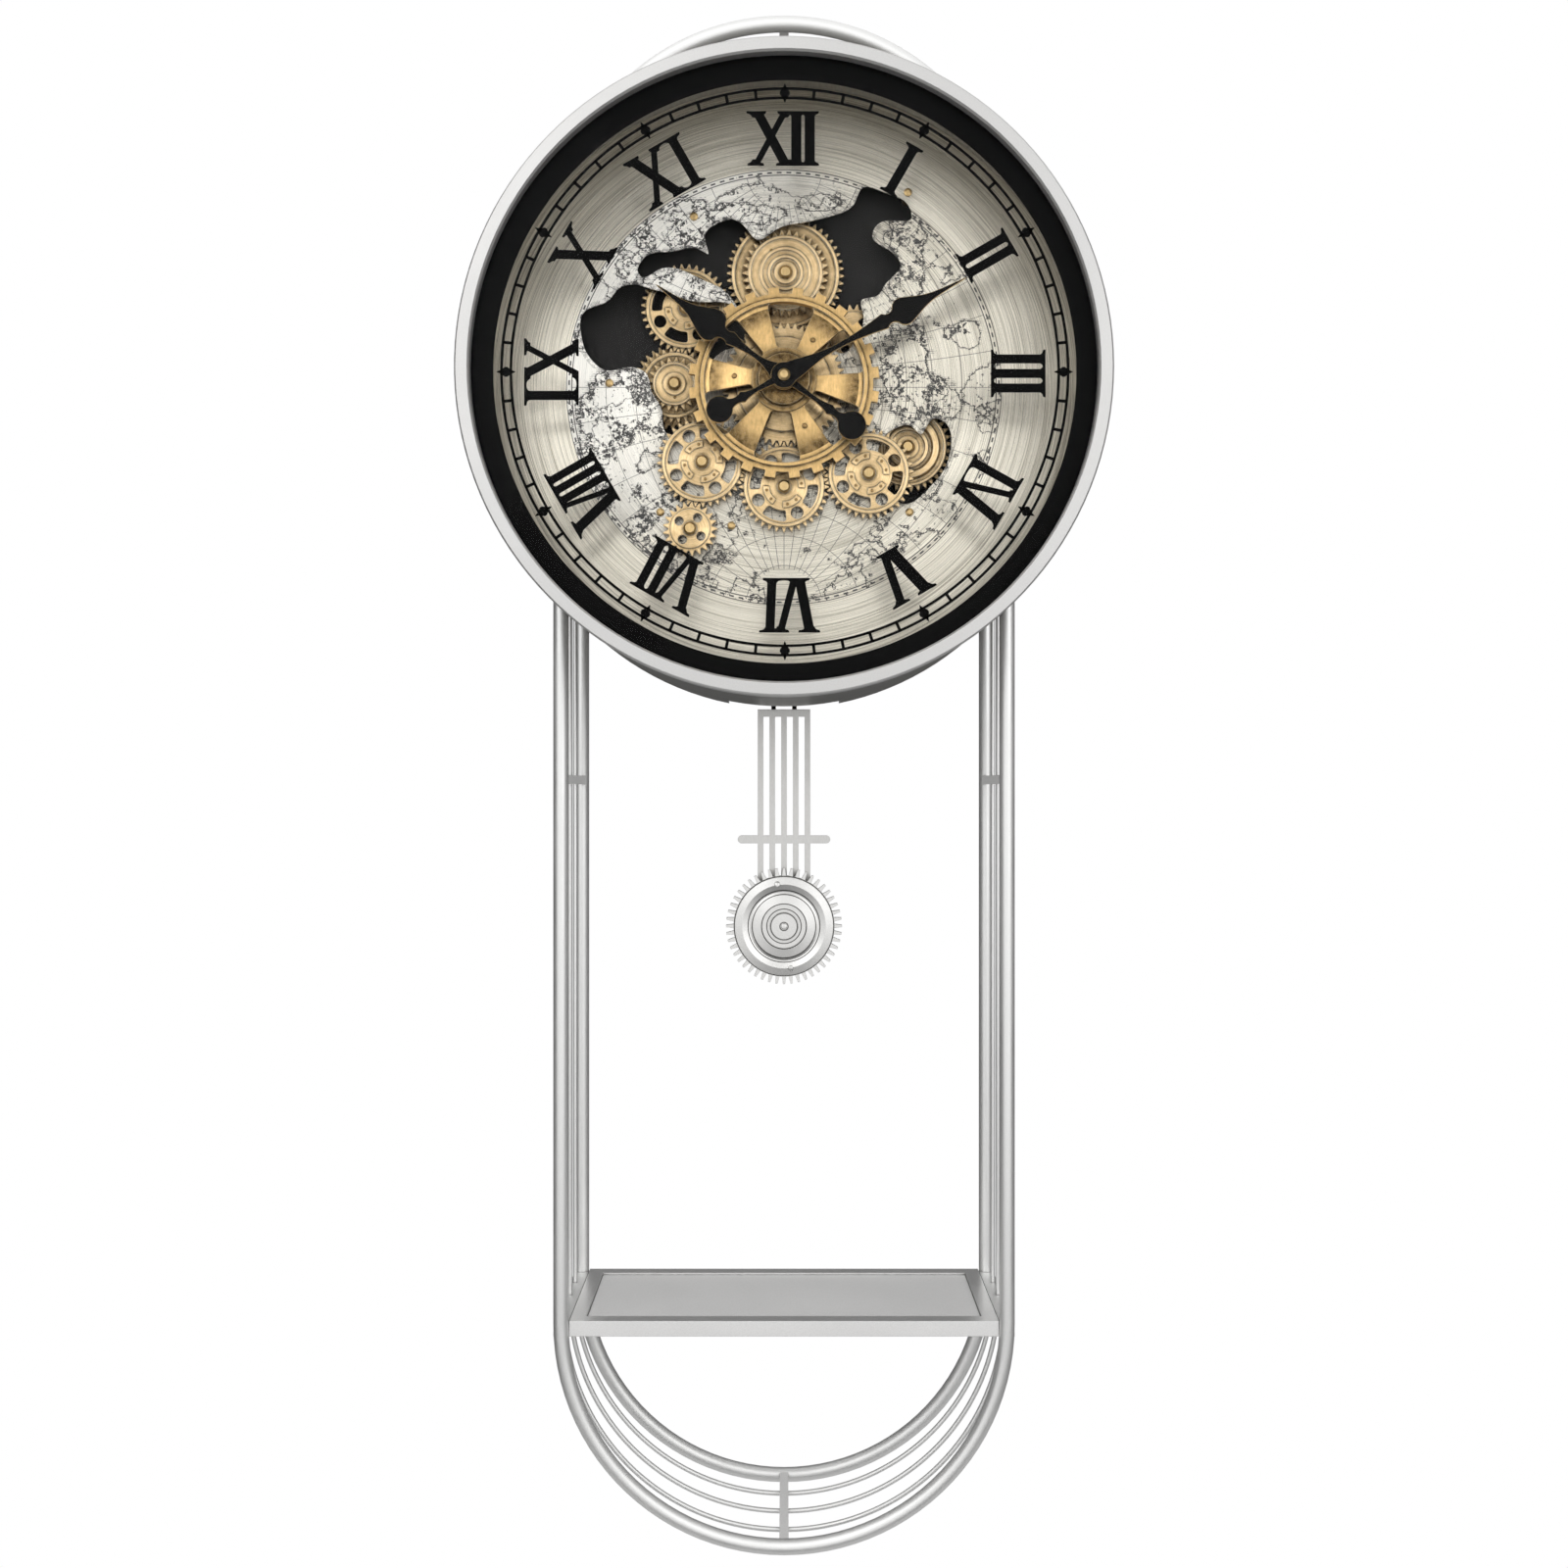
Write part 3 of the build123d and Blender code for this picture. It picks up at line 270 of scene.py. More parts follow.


# satin silver: fine even grain, slow change of polish; rings are dark lines about a middle, painted shade
# along the steps of the turned face and round its screw
silverSet = {
    "silver": {"base": (0.91, 0.91, 0.90), "metal": 0.92, "rough": (0.40, 0.48),
               "grain": (2600.0, 2600.0, 2600.0), "bump": 0.02},
    "bezel": {"base": (0.65, 0.645, 0.635), "metal": 0.80, "rough": (0.34, 0.42),
              "grain": (1200.0, 1200.0, 1200.0), "bump": 0.10},
    # the case's round body: the frame's silver darkened into painted shade, as its visible side faces down
    "drum": {"base": (0.31, 0.305, 0.29), "metal": 0.90, "rough": (0.34, 0.44),
             "grain": (900.0, 900.0, 900.0), "bump": 0.06},
    "shelfRail": {"base": (0.98, 0.975, 0.965), "metal": 0.80, "rough": (0.24, 0.32),
                  "grain": (1500.0, 1500.0, 1500.0), "bump": 0.04},
    "shelfPanel": {"base": (0.98, 0.975, 0.965), "metal": 0.14, "rough": (0.36, 0.48),
                   "grain": (1100.0, 1100.0, 1100.0), "bump": 0.06},
    "pendulum_silver": {"base": (0.66, 0.655, 0.64), "metal": 0.90, "rough": (0.28, 0.42),
                        "grain": (1600.0, 400.0, 300.0), "bump": 0.14},
    "bobFace": {"base": (0.78, 0.775, 0.76), "metal": 0.92, "rough": (0.26, 0.36),
                "grain": (1300.0, 400.0, 1300.0), "bump": 0.08, "middle": (0.0, 0.0, -0.505),
                "rings": (35.1, 25.3, 22.4, 15.8, 12.1, 9.3, 2.9), "ringHalf": 0.34},
}
silverWear = {
    "dim": 0.92,  # the dark grain's share of the base colour
    "grain": (0.3, 0.7),
    "round": 0.5 * mm,
    # mask of the painted shade in corners and recesses: reach and ramp
    "hollowShade": (4 * mm, 0.2, 0.8),
    "edgeTint": (0.86, 0.86, 0.85),
    # tone of that painted shade
    "hollowShadeTint": (0.16, 0.155, 0.145),
    "ringShadeTint": (0.07, 0.068, 0.065),
    "fine": 0.08,  # roughness that the fine grain adds
    "bumpDepth": 0.1 * mm,
}
finishes = {}
for finishName, look in silverSet.items():
    finish, tree, sockets = startFinish(finishName + "Satin", look["metal"])
    spot = objectPlace(tree, look.get("middle", (0.0, 0.0, 0.0)))
    grain = place(tree, brushLines, Vector=spot, Stretch=look["grain"])
    cloud = place(tree, cloudVary, Vector=spot, Low=look["rough"][0], High=look["rough"][1])
    smooth = roundedNormal(tree, silverWear["round"])
    dim = tuple(silverWear["dim"] * value for value in look["base"])
    shade = blendColour(tree, ramp(tree, grain["Lines"], *silverWear["grain"]), dim, look["base"])
    worn = place(tree, wearAndPaintedLight, Vector=spot, Base=shade, EdgeTint=silverWear["edgeTint"],
                 HollowTint=silverWear["hollowShadeTint"], Edge=edgeMask(tree, smooth),
                 Hollow=hollowShadeMask(tree, *silverWear["hollowShade"]))
    colour = worn["Color"]
    # dark rings: painted shade along the steps of the turned face and round its centre screw
    if "rings" in look:
        radius = radiusMm(tree, spot)
        gaps = [gapTo(tree, radius, ring) for ring in look["rings"]]
        turned = most(tree, [lineMask(tree, gap, look["ringHalf"]) for gap in gaps])
        colour = blendColour(tree, turned, colour, silverWear["ringShadeTint"])
    feed(tree, colour, sockets["Base Color"])
    fine = calc(tree, "MULTIPLY", grain["Fine"], silverWear["fine"])
    feed(tree, calc(tree, "ADD", cloud["Value"], fine), sockets["Roughness"])
    feed(tree, bump(tree, grain["Fine"], look["bump"], silverWear["bumpDepth"], smooth), sockets["Normal"])
    finishes[finishName] = finish

# gear gold: turned or brushed brass, darker in the corners, partly patina and partly painted shade, with
# lighter rubbed edges, partly a painted highlight;
# near, mid and wide are how far the three darkenings look for a corner
goldSet = {
    "gear_gold": {"base": (1.0, 0.75, 0.42), "dim": (0.50, 0.325, 0.135), "edge": (1.0, 0.90, 0.68),
                  "stainAndShade": (0.040, 0.025, 0.012), "round": 1.2 * mm,
                  "near": 2 * mm, "mid": 6 * mm, "wide": 18 * mm},
    "cogGold": {"base": (0.84, 0.57, 0.25), "dim": (0.46, 0.29, 0.11), "edge": (1.0, 0.84, 0.55),
                "stainAndShade": (0.045, 0.027, 0.012), "round": 1.0 * mm,
                "near": 2 * mm, "mid": 5 * mm, "wide": 18 * mm,
                "fade": ((16.0, 26.5), (32.5, 47.0))},  # darker towards both ends of the spokes
    "screw_brass": {"base": (0.72, 0.52, 0.25), "dim": (0.52, 0.36, 0.16), "edge": (0.95, 0.80, 0.50),
                    "stainAndShade": (0.06, 0.04, 0.02), "round": 0.5 * mm,
                    "near": 1 * mm, "mid": 2 * mm, "wide": 4 * mm},
    "rivetBrass": {"base": (0.36, 0.235, 0.10), "dim": (0.20, 0.125, 0.05), "edge": (0.66, 0.50, 0.27),
                   "stainAndShade": (0.03, 0.02, 0.01), "round": 0.3 * mm,
                   "near": 1 * mm, "mid": 2 * mm, "wide": 4 * mm},
}
goldWear = {
    "turned": 1300.0,
    "anisotropy": 0.75,
    "brushed": (700.0, 700.0, 180.0),
    "rough": (0.24, 0.34),
    "fine": 0.12,  # roughness that the fine grain adds
    "patchNoise": (230.0, 3.0, 0.6),
    "patch": (0.36, 0.62, 0.72, 1.0),
    "polish": (0.30, 0.62, 0.50, 1.0),
    # corner darkening at three reaches, partly patina and partly painted shade; the wide one is painted
    # shade on wheels lying behind others
    "stainsAndShade": {"near": (0.74, 0.995, 1.0), "mid": (0.66, 0.99, 0.85), "wide": (0.42, 0.95, 0.96)},
    "cloudNoise": (45.0, 2.0, 0.5),
    "cloud": (0.50, 0.80, 0.0, 0.12),
    "spokeEnd": 0.6,  # the fade stops this far past the spokes
    "edge": (0.02, 0.22),
    "bump": (0.2, 0.1 * mm),
}
turnedWheels = ("wheel", "large", "small", "front", "middle", "rear")  # last words of the wheels' names


def goldFinish(name, look, middle, turned):
    finish, tree, sockets = startFinish(name)
    spot = objectPlace(tree, middle)
    if turned:
        grain = place(tree, turnedLines, Vector=spot, Count=goldWear["turned"])
        sockets["Anisotropic"].default_value = goldWear["anisotropy"]
        outward = vectorCalc(tree, "NORMALIZE", vectorCalc(tree, "MULTIPLY", spot, flatten))
        feed(tree, outward, sockets["Tangent"])
    else:
        grain = place(tree, brushLines, Vector=spot, Stretch=goldWear["brushed"])
    cloud = place(tree, cloudVary, Vector=spot, Low=goldWear["rough"][0], High=goldWear["rough"][1])
    smooth = roundedNormal(tree, look["round"])
    patches = ramp(tree, noise(tree, spot, *goldWear["patchNoise"]), *goldWear["patch"])
    polish = calc(tree, "MULTIPLY", ramp(tree, grain["Lines"], *goldWear["polish"]), patches)
    shade = blendColour(tree, polish, look["dim"], look["base"])
    stainsAndShade = [ramp(tree, noise(tree, spot, *goldWear["cloudNoise"]), *goldWear["cloud"])]
    for reach, (low, high, share) in goldWear["stainsAndShade"].items():
        stainsAndShade.append(calc(tree, "MULTIPLY", hollowShadeMask(tree, look[reach], low, high), share))
    if "fade" in look:
        inner, outer = look["fade"]
        radius = radiusMm(tree, spot)
        onSpoke = calc(tree, "LESS_THAN", radius, outer[1] + goldWear["spokeEnd"])
        stainsAndShade.append(ramp(tree, radius, *inner, 1.0, 0.0))
        stainsAndShade.append(calc(tree, "MULTIPLY", ramp(tree, radius, *outer), onSpoke))
    worn = place(tree, wearAndPaintedLight, Vector=spot, Base=shade, EdgeTint=look["edge"], HollowTint=look["stainAndShade"],
                 Edge=edgeMask(tree, smooth, *goldWear["edge"]), Hollow=most(tree, stainsAndShade))
    feed(tree, worn["Color"], sockets["Base Color"])
    fine = calc(tree, "MULTIPLY", grain["Fine"], goldWear["fine"])
    feed(tree, calc(tree, "ADD", cloud["Value"], fine), sockets["Roughness"])
    feed(tree, bump(tree, grain["Lines"], *goldWear["bump"], smooth), sockets["Normal"])
    return finish


for finishName, look in goldSet.items():
    finishes[finishName] = goldFinish(finishName + "Brushed", look, dialMiddle, False)
for nodeName, slotName in slotOf.items():
    isWheel = slotName == "gear_gold" and nodeName.split("_")[-1] in turnedWheels
    if isWheel and nodeName != "cog_wheel":
        low, high = (np.array(corner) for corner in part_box(nodeName))
        middle = (0.5 * (low[0] + high[0]), 0.0, 0.5 * (low[2] + high[2]))
        finishes[nodeName] = goldFinish(nodeName + "Turned", goldSet["gear_gold"], middle, True)

# chart ink, in mm about the dial's middle: a hemisphere's grid of circles, made-up coasts, hatched sea
# and speckled land
chartSet = {
    "rim": 136.5,  # outer circle of the grid
    "edge": 140.3,  # the print and its pale ground end here
    "edgeSoft": 0.4,
    "rings": ((140.0, 0.34), (136.5, 0.30)),
    "dash": {"radius": 138.2, "half": 0.5, "count": 140},
    "step": radians(10.0),
    "polar": radians(81.0),  # meridians stop short of the poles
    "lineHalf": 0.21,
    "gridInk": 0.75,
    "coast": {"noise": (30.0, 7.0, 0.62), "level": 0.535, "half": 0.008, "reach": 0.035,
              "inland": 0.1, "inlandShare": 0.5},
    "hatch": {"gap": 1.1, "half": 0.24},
    "speck": {"noise": (380.0, 5.0, 0.75), "lift": 0.20, "level": 0.66, "soft": 0.04,
              "patchNoise": (62.0, 4.0, 0.66), "patch": (0.40, 0.64)},
    # each island: middle x and z, half width and half height; noise makes its shore ragged
    "islands": ((-106, -24, 24, 34), (-92, -72, 26, 24), (-66, -104, 20, 14), (-74, 103, 24, 17),
                (-22, 112, 24, 7), (22, 119, 17, 6), (80, 8, 15, 36), (98, -8, 12, 14),
                (79, 84, 11, 32), (-60, 62, 36, 13), (118, 34, 9, 9)),
    "shore": {"noise": (46.0, 6.0, 0.66), "ragged": 2.6, "half": 0.045, "reach": 0.26,
              "land": (-0.02, 0.06)},
}
chartInk, got, give = startGroup("chartInk", {"Vector": "Vector"}, {"Ink": "Float", "Ground": "Float"})
sums = partial(calc, chartInk)
lines = partial(lineMask, chartInk)
rim, coast, speck, shore = (chartSet[key] for key in ("rim", "coast", "speck", "shore"))
unit = vectorCalc(chartInk, "MULTIPLY", got["Vector"], (toMm / rim, 0.0, toMm / rim))
parts = splitVector(chartInk, unit)
across, up = parts["X"], parts["Z"]
square = vectorCalc(chartInk, "DOT_PRODUCT", unit, unit)
oneMore = sums("ADD", square, 1.0)
radius = sums("MULTIPLY", sums("SQRT", square), rim)

# longitude is the angle of twice x over one less the square of the radius,
# latitude the arc sine of twice z over one plus that square
longitude = sums("ARCTAN2", sums("MULTIPLY", across, 2.0), sums("SUBTRACT", 1.0, square))
latitude = sums("ARCSINE", sums("DIVIDE", sums("MULTIPLY", up, 2.0), oneMore))
grow = sums("MULTIPLY", oneMore, rim / 2)
lonGap = sums("MULTIPLY", sums("PINGPONG", longitude, chartSet["step"] / 2), sums("COSINE", latitude))
lonGap = sums("MULTIPLY", lonGap, grow)
latGap = sums("MULTIPLY", sums("PINGPONG", latitude, chartSet["step"] / 2), grow)
awayFromPole = sums("LESS_THAN", sums("ABSOLUTE", latitude), chartSet["polar"])
meridians = sums("MULTIPLY", lines(lonGap, chartSet["lineHalf"]), awayFromPole)
grid = sums("MAXIMUM", meridians, lines(latGap, chartSet["lineHalf"]))
grid = sums("MULTIPLY", grid, sums("LESS_THAN", square, 1.0))
inks = [sums("MULTIPLY", grid, chartSet["gridInk"])]

# rings and dashes round the grid
for ringRadius, half in chartSet["rings"]:
    inks.append(lines(gapTo(chartInk, radius, ringRadius), half))
dash = chartSet["dash"]
dashTurn = sums("PINGPONG", sums("ARCTAN2", up, across), pi / dash["count"])
dashOn = sums("GREATER_THAN", dashTurn, pi / dash["count"] / 2)
inks.append(sums("MULTIPLY", lines(gapTo(chartInk, radius, dash["radius"]), dash["half"]), dashOn))

# coasts are where slow noise crosses a level, with hatching on the sea side
land = noise(chartInk, got["Vector"], *coast["noise"])
coastGap = gapTo(chartInk, land, coast["level"])
inks.append(lines(coastGap, coast["half"]))
hatchGap = sums("PINGPONG", sums("MULTIPLY", up, rim), chartSet["hatch"]["gap"] / 2)
hatch = lines(hatchGap, chartSet["hatch"]["half"])
atSea = sums("LESS_THAN", land, coast["level"])
seaBand = sums("MULTIPLY", ramp(chartInk, coastGap, 0.0, coast["reach"], 1.0, 0.0), atSea)
inks.append(sums("MULTIPLY", hatch, seaBand))

# islands are ellipses with ragged shores, hatched outside and speckled inside
islands = []
for x, z, halfWide, halfHigh in chartSet["islands"]:
    middle = (x / rim, 0.0, z / rim)
    spread = (rim / halfWide, 0.0, rim / halfHigh)
    away = vectorCalc(chartInk, "MULTIPLY", vectorCalc(chartInk, "SUBTRACT", unit, middle), spread)
    islands.append(sums("MULTIPLY", vectorCalc(chartInk, "LENGTH", away), -1.0))
ragged = noise(chartInk, got["Vector"], *shore["noise"])
ragged = sums("MULTIPLY", sums("SUBTRACT", ragged, 0.5), shore["ragged"])
ashore = sums("ADD", most(chartInk, islands), sums("ADD", ragged, 1.0))  # above zero on land
inks.append(lines(sums("ABSOLUTE", ashore), shore["half"]))
offShore = sums("LESS_THAN", ashore, 0.0)
shoreBand = sums("MULTIPLY", ramp(chartInk, ashore, -shore["reach"], 0.0), offShore)
inks.append(sums("MULTIPLY", hatch, shoreBand))
patchy = ramp(chartInk, noise(chartInk, got["Vector"], *speck["patchNoise"]), *speck["patch"])
onLand = sums("MULTIPLY", ramp(chartInk, ashore, *shore["land"]), patchy)
inland = ramp(chartInk, land, coast["level"], coast["level"] + coast["inland"], 0.0, coast["inlandShare"])
crowd = sums("MULTIPLY", sums("MAXIMUM", onLand, inland), speck["lift"])
crowd = sums("ADD", noise(chartInk, got["Vector"], *speck["noise"]), crowd)
inks.append(ramp(chartInk, crowd, speck["level"], speck["level"] + speck["soft"]))
ground = ramp(chartInk, radius, chartSet["edge"] - chartSet["edgeSoft"], chartSet["edge"], 1.0, 0.0)
feed(chartInk, sums("MULTIPLY", most(chartInk, inks), ground), give["Ink"])
feed(chartInk, ground, give["Ground"])

# dial metal: champagne sheet brushed in rings; beneath the chart a pale tone that grows towards the upper
# left, a painted highlight
dialSet = {
    "base": (0.86, 0.815, 0.70),
    "dim": (0.40, 0.37, 0.30),
    "rings": 1500.0,
    "ringTone": (0.30, 0.60),
    "anisotropy": 0.7,
    "rough": (0.2, 0.8, 0.24, 0.36),
    "bump": (1.0, 0.12 * mm),
    # tone of the painted highlight beneath the chart
    "pale": (0.98, 0.96, 0.90),
    "lean": (-6.6, 0.0, 3.2),  # the painted highlight beneath the chart grows this way, from the lower right to the upper left
    "leanNoise": (22.0, 4.0, 0.6),
    "leanShare": 0.9,
    "paintedHighlight": (0.35, 1.25, 0.0, 0.85),
    "matt": (0.12, 0.75),  # how much less metallic the bare sheet and the full painted highlight are
    "paintedWheelShade": (0.11, 0.088, 0.060),  # tone of the painted shade beneath the wheels
    # reach and ramp of that painted shade, then its share
    "shade": (20 * mm, 0.30, 0.92),
    "shadeShare": 0.20,
    "ink": (0.035, 0.033, 0.032),
    "cutReach": 4 * mm,  # ink crowds this near to the cut edges of the windows
    "cutEdge": (0.0002, 0.003),
    "cutLift": 0.22,
    "cutNoise": (300.0, 5.0, 0.75),
    "cutInk": (0.68, 0.72),
}
finish, tree, sockets = startFinish("dialChampagne")
spot = objectPlace(tree, dialMiddle)
flatSpot = vectorCalc(tree, "MULTIPLY", spot, flatten)
rings = place(tree, turnedLines, Vector=spot, Count=dialSet["rings"])
chart = place(tree, chartInk, Vector=spot)
shade = blendColour(tree, ramp(tree, rings["Lines"], *dialSet["ringTone"]), dialSet["dim"], dialSet["base"])
uneven = calc(tree, "MULTIPLY", noise(tree, flatSpot, *dialSet["leanNoise"]), dialSet["leanShare"])
lean = calc(tree, "ADD", vectorCalc(tree, "DOT_PRODUCT", flatSpot, dialSet["lean"]), uneven)
paintedHighlight = calc(tree, "MULTIPLY", chart["Ground"], ramp(tree, lean, *dialSet["paintedHighlight"]))
shade = blendColour(tree, paintedHighlight, shade, dialSet["pale"])
# painted shade beneath the wheels, from ambient occlusion
paintedWheelShade = calc(tree, "MULTIPLY", hollowShadeMask(tree, *dialSet["shade"]), dialSet["shadeShare"])
shade = blendColour(tree, paintedWheelShade, shade, dialSet["paintedWheelShade"])
cutEdge = edgeMask(tree, roundedNormal(tree, dialSet["cutReach"]), *dialSet["cutEdge"])
crowd = calc(tree, "MULTIPLY", cutEdge, dialSet["cutLift"])
crowd = calc(tree, "ADD", noise(tree, flatSpot, *dialSet["cutNoise"]), crowd)
cutInk = calc(tree, "MULTIPLY", ramp(tree, crowd, *dialSet["cutInk"]), chart["Ground"])
ink = calc(tree, "MAXIMUM", chart["Ink"], cutInk)
feed(tree, blendColour(tree, ink, shade, dialSet["ink"]), sockets["Base Color"])
matt = calc(tree, "MAXIMUM", ink, ramp(tree, paintedHighlight, 0.0, 1.0, *dialSet["matt"]))
feed(tree, calc(tree, "SUBTRACT", 1.0, matt), sockets["Metallic"])
feed(tree, ramp(tree, rings["Fine"], *dialSet["rough"]), sockets["Roughness"])
feed(tree, bump(tree, rings["Lines"], *dialSet["bump"]), sockets["Normal"])
sockets["Anisotropic"].default_value = dialSet["anisotropy"]
feed(tree, vectorCalc(tree, "NORMALIZE", flatSpot), sockets["Tangent"])
finishes["dial_metal"] = finish

# dark and plain finishes: base colour, how shiny, grain
plainSet = {
    "black_plate": {"base": (0.017, 0.0165, 0.016), "metal": 0.0, "rough": (0.42, 0.55),
                    "grain": (900.0, 900.0, 60.0)},
    "black_plastic": {"base": (0.022, 0.022, 0.023), "metal": 0.0, "rough": (0.40, 0.58),
                      "grain": (1400.0, 1400.0, 1400.0)},
    "liner_grey": {"base": (0.30, 0.285, 0.25), "metal": 0.3, "rough": (0.36, 0.46),
                   "grain": (900.0, 60.0, 900.0)},
    "cell_jacket": {"base": (0.05, 0.10, 0.13), "metal": 0.0, "rough": (0.22, 0.34),
                    "grain": (500.0, 500.0, 500.0)},
}
plainWear = {
    "specular": 0.14,
    "round": 0.4 * mm,
    "pale": (1.5, 0.01),  # rubbed tone: this much of the base colour, and this much more
    "recessShade": 0.6,  # share of the base colour in the painted shade of recesses
    "grain": (0.35, 0.75, 0.0, 0.5),
    # reach and ramp of that painted shade
    "hollowShade": (6 * mm, 0.2, 0.9),
    "bump": (0.15, 0.1 * mm),
}
for finishName, look in plainSet.items():
    finish, tree, sockets = startFinish(finishName + "Coat", look["metal"])
    sockets["Specular IOR Level"].default_value = plainWear["specular"]
    spot = objectPlace(tree)
    grain = place(tree, brushLines, Vector=spot, Stretch=look["grain"])
    cloud = place(tree, cloudVary, Vector=spot, Low=look["rough"][0], High=look["rough"][1])
    smooth = roundedNormal(tree, plainWear["round"])
    pale = tuple(plainWear["pale"][0] * value + plainWear["pale"][1] for value in look["base"])
    recessShade = tuple(plainWear["recessShade"] * value for value in look["base"])
    shade = blendColour(tree, ramp(tree, grain["Lines"], *plainWear["grain"]), look["base"], pale)
    worn = place(tree, wearAndPaintedLight, Vector=spot, Base=shade, EdgeTint=pale, HollowTint=recessShade,
                 Edge=edgeMask(tree, smooth), Hollow=hollowShadeMask(tree, *plainWear["hollowShade"]))
    feed(tree, worn["Color"], sockets["Base Color"])
    feed(tree, cloud["Value"], sockets["Roughness"])
    feed(tree, bump(tree, grain["Fine"], *plainWear["bump"], smooth), sockets["Normal"])
    finishes[finishName] = finish

# hands: black lacquer on the faces, bare gold along the cut edges
handSet = {
    "lacquer": ((0.004, 0.004, 0.004), (0.009, 0.0085, 0.008)),
    "gold": (0.72, 0.52, 0.24),
    "specular": 0.05,
    "side": (0.55, 0.85),  # a cut side faces the front by less than this
    "round": 0.55 * mm,
    "edge": (0.02, 0.08),
    "noise": (900.0, 3.0),
    "speck": (0.4, 0.7),
    "rough": (0.3, 0.7, 0.30, 0.42),
}
finish, tree, sockets = startFinish("handLacquer", 0.0)
sockets["Specular IOR Level"].default_value = handSet["specular"]
facing = splitVector(tree, tree.nodes.new("ShaderNodeNewGeometry").outputs["True Normal"])["Y"]
side = ramp(tree, calc(tree, "ABSOLUTE", facing), *handSet["side"], 1.0, 0.0)
smooth = roundedNormal(tree, handSet["round"])
bare = calc(tree, "MAXIMUM", side, edgeMask(tree, smooth, *handSet["edge"]))
specks = noise(tree, objectPlace(tree), *handSet["noise"])
lacquer = blendColour(tree, ramp(tree, specks, *handSet["speck"]), *handSet["lacquer"])
feed(tree, blendColour(tree, bare, lacquer, handSet["gold"]), sockets["Base Color"])
feed(tree, bare, sockets["Metallic"])
feed(tree, ramp(tree, specks, *handSet["rough"]), sockets["Roughness"])
feed(tree, smooth, sockets["Normal"])
finishes["hand_black"] = finish

# glass: clear pane with a faint unevenness
glassSet = {"colour": (1.0, 1.0, 1.0), "ior": 1.10, "noise": (30.0, 3.0), "rough": (0.35, 0.75, 0.0, 0.012)}
finish, tree, sockets = startFinish("paneGlass", 0.0)
feed(tree, glassSet["colour"], sockets["Base Color"])
sockets["Transmission Weight"].default_value = 1.0
sockets["IOR"].default_value = glassSet["ior"]
uneven = noise(tree, objectPlace(tree), *glassSet["noise"])
feed(tree, ramp(tree, uneven, *glassSet["rough"]), sockets["Roughness"])
finishes["glass"] = finish

# printing inks, flat with a slight grain: black for the print, pale for the layer behind its band
inkSet = {
    "printInk": {"tones": ((0.002, 0.002, 0.002), (0.005, 0.005, 0.005)), "specular": 0.02,
                 "noise": (700.0, 3.0), "rough": (0.3, 0.7, 0.42, 0.58)},
    "backingInk": {"tones": ((0.70, 0.68, 0.63), (0.80, 0.78, 0.73)), "specular": 0.5,
                   "noise": (500.0, 3.0), "rough": (0.3, 0.7, 0.45, 0.60)},
}
for finishName, look in inkSet.items():
    finish, tree, sockets = startFinish(finishName, 0.0)
    sockets["Specular IOR Level"].default_value = look["specular"]
    specks = noise(tree, objectPlace(tree), *look["noise"])
    feed(tree, blendColour(tree, specks, *look["tones"]), sockets["Base Color"])
    feed(tree, ramp(tree, specks, *look["rough"]), sockets["Roughness"])
    finishes[finishName] = finish

# nodes with a finish of their own; a wheel has one under its name, the others take their slot's
ownFinish = {
    "bezel": "bezel",
    "case_drum": "drum",
    "cross_strips": "shelfPanel",
    "shelf_panel": "shelfPanel",
    "shelf_frame": "shelfRail",
    "cog_wheel": "cogGold",
    "bob_face": "bobFace",
    "bob_wheel": "bobFace",
}


def finishOf(nodeName):
    return finishes[ownFinish.get(nodeName, nodeName if nodeName in finishes else slotOf[nodeName])]


for nodeName, part in nodes.items():
    part.data.materials.clear()
    part.data.materials.append(finishOf(nodeName))
nodes["glass"].visible_shadow = False
print("finishes on", len(nodes), "nodes")


# quads between neighbours of each grid; points are counted grid by grid, row by row
def gridFaces(count, rows, cols, roundCols=False):
    start = np.arange(count)[:, None, None] * rows * cols
    row = np.arange(rows - 1)[None, :, None] * cols
    col = np.arange(cols if roundCols else cols - 1)[None, None, :]
    after = (col + 1) % cols
    corners = (start + row + col, start + row + after, start + row + cols + after, start + row + cols + col)
    return np.stack(np.broadcast_arrays(*corners), -1).reshape(-1, 4)


mergeGap = {"double": 1e-7, "sliver": 1e-8}  # points and edges nearer than this are merged, in metres


# one mesh from several sets of grids, each of shape (grids, rows, columns, 3); doubles merged
def makePiece(name, sets, body, finish, thickness=0.0, close=False):
    points, faces, used = [], [], 0
    for grids, roundCols in sets:
        count, rows, cols, _ = grids.shape
        faces.append(gridFaces(count, rows, cols, roundCols) + used)
        points.append(grids.reshape(-1, 3))
        used += count * rows * cols
    mesh = bpy.data.meshes.new(name)
    mesh.from_pydata(np.concatenate(points).tolist(), [], np.concatenate(faces).tolist())
    shape = bmesh.new()
    shape.from_mesh(mesh)
    bmesh.ops.remove_doubles(shape, verts=shape.verts, dist=mergeGap["double"])
    bmesh.ops.dissolve_degenerate(shape, edges=shape.edges, dist=mergeGap["sliver"])
    if close:
        bmesh.ops.recalc_face_normals(shape, faces=shape.faces)
    shape.to_mesh(mesh)
    shape.free()
    mesh.materials.append(finish)
    piece = bpy.data.objects.new(name, mesh)
    scene.collection.objects.link(piece)
    if thickness:
        wall = piece.modifiers.new("thickness", "SOLIDIFY")
        wall.thickness = thickness
        wall.offset = 0.0
    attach(piece, body)
    return piece


